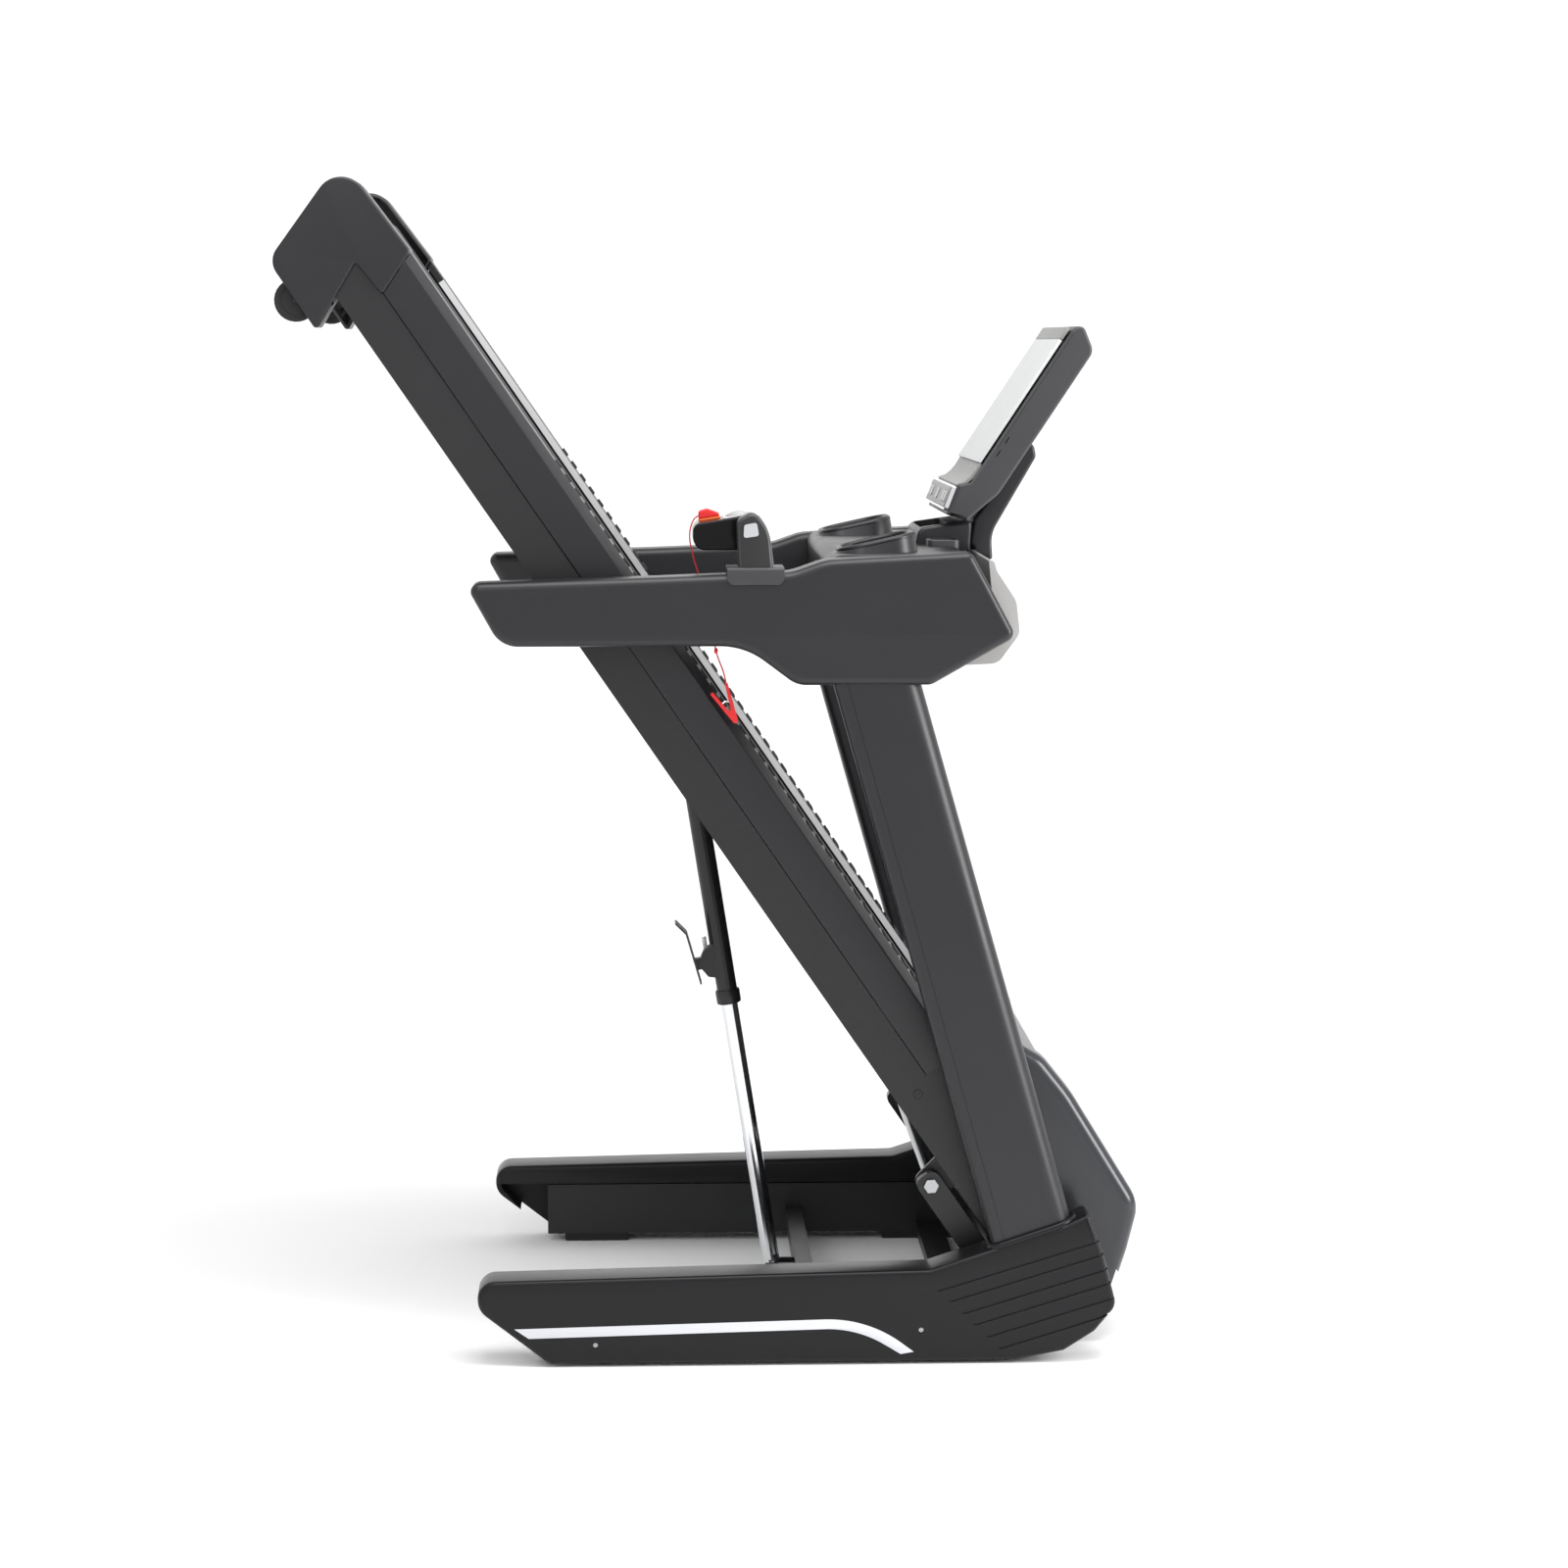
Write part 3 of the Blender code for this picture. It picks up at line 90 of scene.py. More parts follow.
def area_light(name, place, target, size, power):
    light = bpy.data.lights.new(name, "AREA")
    light.shape = "RECTANGLE"
    light.size, light.size_y = size
    light.energy = power
    holder = bpy.data.objects.new(name, light)
    holder.location = place
    holder.rotation_euler = (Vector(target) - Vector(place)).to_track_quat("-Z", "Y").to_euler()
    bpy.context.scene.collection.objects.link(holder)


def make_studio():
    """White surroundings with a soft light overhead, one from the display's side and a weak fill."""
    world = bpy.data.worlds.new("studio")
    world.use_nodes = True
    world.node_tree.nodes["Background"].inputs["Color"].default_value = (1.0, 1.0, 1.0, 1.0)
    world.node_tree.nodes["Background"].inputs["Strength"].default_value = 0.95
    bpy.context.scene.world = world
    bpy.context.scene.view_settings.view_transform = "Standard"
    area_light("overhead", (0.4, -0.9, 3.4), (0.1, -0.2, 0.9), (2.6, 1.8), 70)
    area_light("front_right", (3.4, -1.4, 1.7), (0.3, -0.1, 0.8), (1.2, 2.4), 110)
    area_light("camera_side", (-1.2, -4.0, 3.2), (0.0, 0.0, 1.0), (2.0, 1.2), 14)


def make_floor():
    """A pale floor that curves up behind into a backdrop."""
    shape = bmesh.new()
    bend_at, bend, half_width, top = 4.0, 2.0, 9.0, 7.0
    profile = [(-half_width, 0.0), (bend_at, 0.0)]
    profile += [(bend_at + bend * math.sin(a), bend - bend * math.cos(a))
                for a in (math.radians(15 * i) for i in range(1, 7))]
    profile.append((bend_at + bend, top))
    rows = [[shape.verts.new((x, y, z)) for y, z in profile] for x in (-half_width, half_width)]
    for index in range(len(profile) - 1):
        shape.faces.new((rows[0][index], rows[1][index], rows[1][index + 1], rows[0][index + 1]))
    mesh = bpy.data.meshes.new("floor")
    shape.to_mesh(mesh)
    shape.free()
    mesh.shade_smooth()
    floor = bpy.data.objects.new("floor", mesh)
    bpy.context.scene.collection.objects.link(floor)
    mesh.materials.append(surface("floor_paint", (0.97, 0.97, 0.97), 0.8, grain=30, bump=0.0,
                                  mottle=0.0))


# ------------------------------------------------------------------ materials
def surface(name, colour, roughness, metallic=0.0, grain=900.0, bump=0.15, mottle=0.06, coat=0.0,
            shine=0.5, stretch=(1.0, 1.0, 1.0)):
    """A moulded, painted or metal finish: fine bumps, slightly uneven gloss and colour."""
    material = bpy.data.materials.new(name)
    material.use_nodes = True
    nodes, links = material.node_tree.nodes, material.node_tree.links
    shader = nodes["Principled BSDF"]
    shader.inputs["Metallic"].default_value = metallic
    shader.inputs["Coat Weight"].default_value = coat
    shader.inputs["Specular IOR Level"].default_value = shine
    place = nodes.new("ShaderNodeTexCoord")
    scale = nodes.new("ShaderNodeMapping")
    scale.inputs["Scale"].default_value = stretch
    links.new(place.outputs["Object"], scale.inputs["Vector"])
    fine = nodes.new("ShaderNodeTexNoise")
    fine.inputs["Scale"].default_value = grain
    fine.inputs["Detail"].default_value = 3.0
    links.new(scale.outputs["Vector"], fine.inputs["Vector"])
    relief = nodes.new("ShaderNodeBump")
    relief.inputs["Strength"].default_value = bump
    relief.inputs["Distance"].default_value = 0.0004
    links.new(fine.outputs["Fac"], relief.inputs["Height"])
    links.new(relief.outputs["Normal"], shader.inputs["Normal"])
    broad = nodes.new("ShaderNodeTexNoise")
    broad.inputs["Scale"].default_value = 9.0
    links.new(scale.outputs["Vector"], broad.inputs["Vector"])
    gloss = nodes.new("ShaderNodeMapRange")
    gloss.inputs["To Min"].default_value = max(0.02, roughness - 0.06)
    gloss.inputs["To Max"].default_value = min(1.0, roughness + 0.06)
    links.new(broad.outputs["Fac"], gloss.inputs["Value"])
    links.new(gloss.outputs["Result"], shader.inputs["Roughness"])
    tint = nodes.new("ShaderNodeMix")
    tint.data_type = "RGBA"
    tint.inputs["A"].default_value = (*[c * (1 - mottle) for c in colour], 1.0)
    tint.inputs["B"].default_value = (*[min(1.0, c * (1 + mottle)) for c in colour], 1.0)
    links.new(broad.outputs["Fac"], tint.inputs["Factor"])
    links.new(tint.outputs["Result"], shader.inputs["Base Color"])
    return material


def belt_fabric():
    """Running belt: black PVC with a fine diamond texture."""
    material = surface("belt_pvc", (0.022, 0.022, 0.024), 0.75, grain=500, bump=0.1)
    nodes, links = material.node_tree.nodes, material.node_tree.links
    place = nodes["Texture Coordinate"]
    heights = []
    for angle in (45, -45):
        turn = nodes.new("ShaderNodeMapping")
        turn.inputs["Rotation"].default_value = (0.0, 0.0, math.radians(angle))
        links.new(place.outputs["UV"], turn.inputs["Vector"])
        wave = nodes.new("ShaderNodeTexWave")
        wave.inputs["Scale"].default_value = 120.0
        links.new(turn.outputs["Vector"], wave.inputs["Vector"])
        heights.append(wave)
    both = nodes.new("ShaderNodeMath")
    both.operation = "MAXIMUM"
    for socket, wave in zip(both.inputs, heights):
        links.new(wave.outputs["Fac"], socket)
    relief = nodes.new("ShaderNodeBump")
    relief.inputs["Strength"].default_value = 0.4
    relief.inputs["Distance"].default_value = 0.0006
    links.new(both.outputs["Value"], relief.inputs["Height"])
    links.new(nodes["Bump"].outputs["Normal"], relief.inputs["Normal"])
    links.new(relief.outputs["Normal"], nodes["Principled BSDF"].inputs["Normal"])
    return material


CHARCOAL = surface("charcoal_plastic", (0.0115, 0.0112, 0.0135), 0.34, grain=1400, bump=0.15,
                   shine=0.42)
# Base covers, their ribs and the upright collars: charcoal darkened to near black as painted shade, for
# the light that falls off low on the base.
BASE_PAINTED_SHADE = surface("base_plastic_painted_shade", (0.0060, 0.0060, 0.0070), 0.30, grain=1400, bump=0.12,
                shine=0.25)
DARKER = surface("dark_plastic", (0.007, 0.007, 0.008), 0.5, grain=1400, bump=0.2)
STEEL_COAT = surface("coated_steel", (0.013, 0.013, 0.0145), 0.38, metallic=0.2, grain=500, bump=0.3)
GLOSS = surface("gloss_plastic", (0.003, 0.003, 0.004), 0.14, grain=40, bump=0.02, shine=0.2)
HOOD_PAINT = surface("hood_plastic", (0.020, 0.021, 0.025), 0.24, grain=1400, bump=0.05)
GREY = surface("grey_plastic", (0.030, 0.030, 0.033), 0.42, grain=1200, bump=0.15)
MID_GREY = surface("mid_grey_plastic", (0.20, 0.20, 0.20), 0.35, grain=1200, bump=0.1)
# Pale grey of the buttons; on the console's rear cover the same pale grey is a painted highlight for
# the sheen on its rounded back.
PALE_AND_PAINTED_SHEEN = surface("pale_plastic", (0.36, 0.355, 0.35), 0.3, grain=1200, bump=0.08, coat=0.2)
BEZEL = surface("bezel_plastic", (0.19, 0.187, 0.183), 0.4, grain=1200, bump=0.06)
LINER = surface("liner_plastic", (0.16, 0.158, 0.155), 0.3, grain=1200, bump=0.06, coat=0.3)
SILVER = surface("silver_plastic", (0.62, 0.62, 0.63), 0.25, metallic=0.6, grain=1500, bump=0.05)
WHITE = surface("white_stripe", (0.60, 0.61, 0.64), 0.4, grain=800, bump=0.05)
CHROME = surface("chrome", (0.72, 0.73, 0.75), 0.12, metallic=1.0, grain=60, bump=0.02)
BRUSHED = surface("zinc_steel", (0.42, 0.43, 0.44), 0.36, metallic=1.0, grain=260, bump=0.1,
                  stretch=(1.0, 0.05, 1.0))
ALUMINIUM = surface("bright_strip", (0.80, 0.80, 0.81), 0.3, metallic=0.5, grain=60, bump=0.01)
RUBBER = surface("rubber", (0.012, 0.012, 0.012), 0.82, grain=700, bump=0.3)
BOARD = surface("phenolic_board", (0.07, 0.045, 0.03), 0.5, grain=160, bump=0.1, mottle=0.2)
SCREEN = surface("screen_glass", (0.52, 0.535, 0.53), 0.35, grain=20, bump=0.0, mottle=0.02, shine=0.3)
RED = surface("red_plastic", (0.72, 0.012, 0.015), 0.3, grain=500, bump=0.05)
ORANGE = surface("orange_plastic", (0.85, 0.16, 0.03), 0.4, grain=500, bump=0.05)
CORD_WEAVE = surface("red_cord", (0.55, 0.01, 0.02), 0.7, grain=2200, bump=0.6, mottle=0.2)
BELT = belt_fabric()


# ------------------------------------------------------------------ shape helpers
def rounded(corners, steps=10):
    """An outline from corners (a, b, radius): each corner with a radius becomes an arc."""
    outline = []
    for index, (a, b, radius) in enumerate(corners):
        corner = Vector((a, b))
        if radius == 0:
            outline.append(corner)
            continue
        before = (Vector(corners[index - 1][:2]) - corner).normalized()
        after = (Vector(corners[(index + 1) % len(corners)][:2]) - corner).normalized()
        half = before.angle(after) / 2
        centre = corner + (before + after).normalized() * radius / math.sin(half)
        start = corner + before * radius / math.tan(half) - centre
        end = corner + after * radius / math.tan(half) - centre
        sweep = start.angle_signed(end)
        for step in range(steps + 1):
            turn = -sweep * step / steps
            outline.append(centre + Vector((
                start.x * math.cos(turn) - start.y * math.sin(turn),
                start.x * math.sin(turn) + start.y * math.cos(turn))))
    return outline


def offset(outline, distance):
    """The outline moved inwards by a distance (outwards when it is negative)."""
    area = sum(p.x * q.y - q.x * p.y for p, q in zip(outline, outline[1:] + outline[:1]))
    side = 1 if area > 0 else -1
    moved = []
    for index, point in enumerate(outline):
        before = (point - outline[index - 1]).normalized()
        after = (outline[(index + 1) % len(outline)] - point).normalized()
        normal = (Vector((-before.y, before.x)) + Vector((-after.y, after.x))) * side
        normal.normalize()
        edge = Vector((-before.y, before.x)) * side
        moved.append(point + normal * distance / max(normal.dot(edge), 0.4))
    return moved


def rectangle(a0, a1, b0, b1, radius, steps=10):
    """A rectangle with one corner radius, or a radius for each corner."""
    radii = radius if isinstance(radius, tuple) else (radius,) * 4
    corners = ((a0, b0), (a1, b0), (a1, b1), (a0, b1))
    return rounded([(*corner, r) for corner, r in zip(corners, radii)], steps)


def between(side, inner, outer):
    """Two distances from the middle, as y values on one side in rising order."""
    return sorted((side * inner, side * outer))


def on_bench(name, data):
    """A new object in the workshop, where shapes wait until they are finished."""
    obj = bpy.data.objects.new(name, data)
    workshop.objects.link(obj)
    return obj


def settled(obj):
    """The mesh of an object with its bevels and modifiers applied."""
    bpy.context.view_layer.update()
    return bpy.data.meshes.new_from_object(
        obj.evaluated_get(bpy.context.evaluated_depsgraph_get()))


def solid(shape, name):
    """An object from loose faces, turned outwards."""
    bmesh.ops.recalc_face_normals(shape, faces=shape.faces)
    mesh = bpy.data.meshes.new(name)
    shape.to_mesh(mesh)
    shape.free()
    return on_bench(name, mesh)


def weld(mesh):
    """Joins doubled points and turns the faces outwards."""
    shape = bmesh.new()
    shape.from_mesh(mesh)
    bmesh.ops.remove_doubles(shape, verts=shape.verts, dist=0.00001)
    bmesh.ops.recalc_face_normals(shape, faces=shape.faces)
    shape.to_mesh(mesh)
    shape.free()


def extruded(outline, low, high, edge=0.0, holes=(), plane="XZ", edge_steps=3):
    """A flat outline given thickness, with rounded rims of radius edge. Planes as XZ, XY or YZ."""
    curve = bpy.data.curves.new("outline", "CURVE")
    curve.dimensions = "2D"
    curve.fill_mode = "BOTH"
    curve.extrude = (high - low) / 2 - edge
    curve.bevel_depth = edge
    curve.bevel_resolution = edge_steps
    curve.offset = -edge
    curve.resolution_u = 1
    for loop in (outline, *holes):
        spline = curve.splines.new("POLY")
        spline.points.add(len(loop) - 1)
        for point, place in zip(spline.points, loop):
            point.co = (place[0], place[1], 0.0, 1.0)
        spline.use_cyclic_u = True
    flat = on_bench("outline", curve)
    mesh = settled(flat)
    bpy.data.objects.remove(flat, do_unlink=True)
    middle = (low + high) / 2
    for vertex in mesh.vertices:
        a, b, c = vertex.co
        if plane == "XZ":
            vertex.co = (a, middle - c, b)
        elif plane == "XY":
            vertex.co = (a, b, middle + c)
        else:
            vertex.co = (middle + c, a, b)
    weld(mesh)
    return on_bench("extruded", mesh)


def block(x0, x1, y0, y1, z0, z1):
    return extruded(rectangle(x0, x1, z0, z1, 0), y0, y1)


def turned(profile, steps=40):
    """A profile of (radius, along y) turned about the Y axis."""
    shape = bmesh.new()
    rings = []
    for radius, along in profile:
        if radius == 0:
            rings.append([shape.verts.new((0.0, along, 0.0))])
            continue
        rings.append([shape.verts.new((radius * math.cos(a), along, radius * math.sin(a)))
                      for a in (2 * math.pi * i / steps for i in range(steps))])
    if len(rings[0]) > 1 and len(rings[-1]) > 1:
        rings.append(rings[0])
    for first, second in zip(rings, rings[1:]):
        for i in range(steps):
            j = (i + 1) % steps
            corners = [first[i % len(first)], first[j % len(first)],
                       second[j % len(second)], second[i % len(second)]]
            unique = list(dict.fromkeys(corners))
            if len(unique) > 2:
                shape.faces.new(unique)
    return solid(shape, "turned")


def round_curve(name, points, radius, closed=False, sides=3):
    """A curve with a round section along a list of points."""
    curve = bpy.data.curves.new(name, "CURVE")
    curve.dimensions = "3D"
    curve.bevel_depth = radius
    curve.bevel_resolution = sides
    curve.use_fill_caps = True
    spline = curve.splines.new("POLY")
    spline.points.add(len(points) - 1)
    for point, place in zip(spline.points, points):
        point.co = (*place, 1.0)
    spline.use_cyclic_u = closed
    return curve


def tube(points, radius, closed=False, sides=3):
    """A round rod, wire or rim along a list of points."""
    obj = on_bench("route", round_curve("route", points, radius, closed, sides))
    mesh = settled(obj)
    bpy.data.objects.remove(obj, do_unlink=True)
    return on_bench("route", mesh)


def boolean(obj, other, operation="DIFFERENCE"):
    """Cuts or joins at once, and throws the other mesh away."""
    modifier = obj.modifiers.new("boolean", "BOOLEAN")
    modifier.operation = operation
    modifier.solver = "MANIFOLD"
    modifier.object = other
    mesh = settled(obj)
    obj.modifiers.clear()
    obj.data = mesh
    bpy.data.objects.remove(other, do_unlink=True)
    return obj


def merged(objects):
    """Several meshes as one mesh object."""
    shape = bmesh.new()
    for obj in objects:
        shape.from_mesh(obj.data)
        bpy.data.objects.remove(obj, do_unlink=True)
    mesh = bpy.data.meshes.new("merged")
    shape.to_mesh(mesh)
    shape.free()
    return on_bench("merged", mesh)


def piece(obj, name, material, slot, body, matrix, *stands_for, sharp=32):
    """Finishes a piece: its place, shading, material, body and the plain solids it stands for."""
    obj.name = name
    obj.data.name = name
    obj.data.transform(matrix)
    obj.data.materials.clear()
    obj.data.materials.append(material)
    obj.data.shade_smooth()
    obj.data.set_sharp_from_angle(angle=math.radians(sharp))
    for holder in list(obj.users_collection):
        holder.objects.unlink(obj)
    bpy.context.scene.collection.objects.link(obj)
    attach(obj, body)
    if stands_for:
        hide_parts(*stands_for)
    return obj


def keep(node, material, bevel=0.0):
    """A plain solid that stays as it is, with a finished material and softened edges."""
    obj = NODES[node]
    obj.data.materials.clear()
    obj.data.materials.append(material)
    obj.data.shade_smooth()
    obj.data.set_sharp_from_angle(angle=math.radians(35))
    if bevel:
        flatten = obj.modifiers.new("flatten", "DECIMATE")
        flatten.decimate_type = "DISSOLVE"
        flatten.angle_limit = math.radians(0.5)
        soften = obj.modifiers.new("soften", "BEVEL")
        soften.width = bevel
        soften.segments = 2
        soften.limit_method = "ANGLE"
        soften.angle_limit = math.radians(40)


# ------------------------------------------------------------------ base
COVER = [(-0.3145, 0.1200, 0.024), (-0.3120, 0.0790, 0.028), (-0.215, 0.004, 0.012),
         (0.425, 0.004, 0), (0.495, 0.017, 0),
         (0.538, 0.044, 0.02), (0.568, 0.080, 0.02), (0.549, 0.152, 0.02), (0.529, 0.209, 0.006),
         (0.498, 0.1945, 0.01), (0.309, 0.1325, 0.03)]
COVER_IN, COVER_OUT = 0.3600, 0.4331
WALL = 0.003
COVER_TOP_SLOPE = math.tan(math.radians(18.2))
COVER_SCREWS = {"rear": (-0.1515, 0.0305), "front": (0.2975, 0.0478)}
STRIPE = [(-0.2630, 0.0545, 0), (0.2230, 0.0660, 0.170), (0.2870, 0.0180, 0), (0.2690, 0.0150, 0),
          (0.2080, 0.0520, 0.150), (-0.2430, 0.0410, 0)]
GROOVES = [(0.318, 0.104), (0.335, 0.089), (0.353, 0.072), (0.369, 0.056), (0.387, 0.039),
           (0.403, 0.022)]
GROOVE_RISE = math.tan(math.radians(16.7))
GROOVE_HALF, GROOVE_DEEP = 0.0017, 0.0022
UPRIGHT_DEPTH, UPRIGHT_IN, UPRIGHT_OUT = 0.1155, 0.365, 0.425


def upright_section(clearance=0.0, steps=8):
    """The upright's hollow profile, rounder towards the display, let out by a clearance."""
    x, y = UPRIGHT_DEPTH / 2, (UPRIGHT_OUT - UPRIGHT_IN) / 2
    outline = rounded([(x, y, 0.028), (-x, y, 0.011), (-x, -y, 0.011), (x, -y, 0.028)], steps)
    return offset(outline, -clearance) if clearance else outline


def lean_x(z):
    """Middle of the upright at a height, in the machine's side view."""
    return UPRIGHT_FOOT_X - z * math.tan(LEAN)


def upright_opening(clearance, low, high):
    """Side outline of the space that an upright takes between two heights."""
    half = UPRIGHT_DEPTH / 2 / math.cos(LEAN) + clearance
    return [Vector((lean_x(low) - half, low)), Vector((lean_x(low) + half, low)),
            Vector((lean_x(high) + half, high)), Vector((lean_x(high) - half, high))]


def shroud_groove(x, z, side):
    """One of the rising grooves that run round the shroud's front edge, as a cutter."""
    taper, far = 0.004, 0.62
    rise = (far - x) * GROOVE_RISE
    bar = extruded([Vector((x, z)), Vector((x + taper, z - GROOVE_HALF)),
                    Vector((far, z + rise - GROOVE_HALF)), Vector((far, z + rise + GROOVE_HALF)),
                    Vector((x + taper, z + GROOVE_HALF))],
                   *between(side, COVER_IN - 0.01, COVER_OUT + 0.01))
    core = extruded(offset(rounded(COVER), GROOVE_DEEP),
                    *between(side, COVER_IN - 0.02, COVER_OUT - GROOVE_DEEP), edge=0.005)
    return boolean(bar, core)


def base_cover(name, side):
    """Hollow cover with a well for the upright, grooves, two sunk screws, a stripe and ribs."""
    shell = extruded(rounded(COVER), *between(side, COVER_IN, COVER_OUT), edge=0.007)
    hollow = offset(rounded(COVER, 4), WALL + 0.004)
    for point in hollow:
        if point.y < 0.016 and point.x < 0.45:
            point.y = -0.02
    boolean(shell, extruded(hollow, *between(side, COVER_IN + WALL + 0.004, COVER_OUT - WALL - 0.004)))
    boolean(shell, block(-0.40, 0.60, *between(side, COVER_IN - 0.01, COVER_IN + WALL + 0.0055),
                         -0.02, 0.0925))
    boolean(shell, extruded(upright_opening(0.0012, 0.085, 0.30),
                            *between(side, UPRIGHT_IN - 0.0012, UPRIGHT_OUT + 0.0012)))
    for x, z in GROOVES:
        boolean(shell, shroud_groove(x, z, side))
    for end, (x, z) in COVER_SCREWS.items():
        well = turned([(0.0, side * (COVER_OUT - 0.004)), (0.0042, side * (COVER_OUT - 0.004)),
                       (0.0042, side * (COVER_OUT + 0.004)), (0.0, side * (COVER_OUT + 0.004))], 24)
        well.data.transform(Matrix.Translation((x, 0.0, z)))
        boolean(shell, well)
        screw = turned([(0.0, side * (COVER_OUT - 0.0036)), (0.0036, side * (COVER_OUT - 0.0036)),
                        (0.0034, side * (COVER_OUT - 0.0022)), (0.0012, side * (COVER_OUT - 0.0018)),
                        (0.0010, side * (COVER_OUT - 0.0026)), (0.0, side * (COVER_OUT - 0.0026))], 24)
        piece(screw, f"cover_screw_{name}_{end}", BRUSHED, "zinc_steel", "base",
              MACHINE @ Matrix.Translation((x, 0.0, z)))
    # The shell's near-black colour is painted shade for the dim light low on the base.
    piece(shell, "base_shell_" + name, BASE_PAINTED_SHADE, "charcoal_plastic", "base", MACHINE,
          "base_cover_" + name)
    stripe = extruded(rounded(STRIPE, 14), *between(side, COVER_OUT - 0.0008, COVER_OUT + 0.0003),
                      edge=0.0003, edge_steps=1)
    piece(stripe, "base_stripe_" + name, WHITE, "pale_plastic", "base", MACHINE)
    rib_start, rib_pitch, rib_count, rib_width = -0.24, 0.075, 8, 0.003
    ribs = [block(x, x + rib_width, *between(side, COVER_IN + 0.0006, COVER_IN + 0.0042), 0.094, 0.1075)
            for x in (rib_start + rib_pitch * i for i in range(rib_count))]
    piece(merged(ribs), "base_ribs_" + name, BASE_PAINTED_SHADE, "charcoal_plastic", "base", MACHINE)


def upright_collar(name, side):
    """Rounded lip where an upright goes down into its base cover."""
    middle = side * (UPRIGHT_IN + UPRIGHT_OUT) / 2
    corner_x, corner_z = COVER[9][:2]
    rim = []
    for along, across in upright_section(0.0042, 10):
        foot_x = UPRIGHT_FOOT_X + along / math.cos(LEAN)
        z = (corner_z + (foot_x - corner_x) * COVER_TOP_SLOPE) / (1 + COVER_TOP_SLOPE * math.tan(LEAN))
        rim.append((foot_x - z * math.tan(LEAN), middle + across, z + 0.0005))
    piece(tube(rim, 0.0045, closed=True, sides=4), "upright_collar_" + name, BASE_PAINTED_SHADE,
          "charcoal_plastic", "base", MACHINE)


def upright(name, side):
    """Leaning post with a fine seam down both of its broad faces."""
    middle = side * (UPRIGHT_IN + UPRIGHT_OUT) / 2
    face = (UPRIGHT_OUT - UPRIGHT_IN) / 2
    post = extruded(upright_section(), 0.1000, 1.0600, plane="XY")
    seam_x = -UPRIGHT_DEPTH / 2 + 0.0170
    for way in (-1, 1):
        boolean(post, block(seam_x, seam_x + 0.0014, *between(way, face - 0.0012, face + 0.01),
                            0.05, 1.10))
    post.data.transform(Matrix.Translation((0.0, middle, 0.0)))
    piece(post, "upright_shell_" + name, CHARCOAL, "charcoal_plastic", "base", UPRIGHT,
          "upright_" + name, sharp=40)


# ------------------------------------------------------------------ arms
ARM = [(-0.323, 1.0790, 0.012), (-0.275, 0.9930, 0.040), (0.055, 0.9930, 0.10),
       (0.126, 0.9400, 0.040), (0.309, 0.9400, 0.022), (0.4245, 1.0055, 0.013),
       (0.387, 1.0760, 0.09), (0.3630, 1.1200, 0.012), (0.165, 1.1100, 0.08),
       (0.118, 1.0935, 0.08), (-0.060, 1.0870, 0.35)]


def arm(name, side):
    """Moulded arm cover from the grip to the console's side."""
    shell = extruded(rounded(ARM, 14), *between(side, 0.3600, 0.4300), edge=0.011, edge_steps=5)
    piece(shell, "arm_shell_" + name, CHARCOAL, "charcoal_plastic", "base", MACHINE,
          "arm_cover_" + name, sharp=50)


# ------------------------------------------------------------------ safety pod, key and cord
KEY_Y = -0.318
KEY_HALF = 0.012
BUTTON_X = 0.052                      # the round button, along the pod's top
POCKET_R = 0.0161
CORD_R = 0.001
CORD_ROUTE = [(-0.0061, -0.3180, 1.1654), (-0.0088, -0.3183, 1.1640), (-0.0118, -0.3188, 1.1606),
              (-0.0152, -0.3200, 1.1533), (-0.0174, -0.3240, 1.1434), (-0.0174, -0.3290, 1.1322),
              (-0.0150, -0.3360, 1.1198), (-0.0108, -0.3460, 1.1028), (-0.0049, -0.3530, 1.0835),
              (0.0029, -0.3556, 1.0497), (0.0109, -0.3557, 1.0147), (0.0177, -0.3557, 0.9821),
              (0.0229, -0.3557, 0.9662), (0.0276, -0.3557, 0.9541), (0.0313, -0.3557, 0.9391)]


def smooth_route(controls, spacing):
    """Points at even spacing on a smooth curve through the control points."""
    controls = [Vector(c) for c in controls]
    padded = [2 * controls[0] - controls[1], *controls, 2 * controls[-1] - controls[-2]]
    dense, samples = [], 40
    for p0, p1, p2, p3 in zip(padded, padded[1:], padded[2:], padded[3:]):
        for step in range(samples):
            t = step / samples
            dense.append(0.5 * (2 * p1 + (p2 - p0) * t + (2 * p0 - 5 * p1 + 4 * p2 - p3) * t * t
                                + (3 * p1 - p0 - 3 * p2 + p3) * t ** 3))
    dense.append(controls[-1])
    total = sum((b - a).length for a, b in zip(dense, dense[1:]))
    count = max(2, round(total / spacing))
    route, walked, target = [dense[0]], 0.0, total / count
    for a, b in zip(dense, dense[1:]):
        length = (b - a).length
        while walked + length >= target - 1e-9 and len(route) < count:
            route.append(a.lerp(b, (target - walked) / length))
            target += total / count
        walked += length
    route.append(dense[-1])
    return route


def safety_cord():
    """Limp red cord from the key down past the arm, with its bead and garment clip."""
    route = [MACHINE @ point for point in smooth_route(CORD_ROUTE, 0.0065)]
    curve = round_curve("key_cord", route, CORD_R)
    curve.materials.append(CORD_WEAVE)
    cord = bpy.data.objects.new("key_cord", curve)
    bpy.context.scene.collection.objects.link(cord)
    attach(cord, "safety_key")
    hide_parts("safety_cord")
    bead = turned([(0.0, -0.0042), (0.0013, -0.0040), (0.0026, -0.0016), (0.0026, 0.0014),
                   (0.0014, 0.0040), (0.0, 0.0042)], 20)
    bead.data.transform(Matrix.Rotation(math.radians(90), 4, "X"))
    bead = piece(bead, "cord_bead", RED, "red_plastic", "safety_key",
                 MACHINE @ Matrix.Translation(CORD_ROUTE[-4]))
    clip = garment_clip()


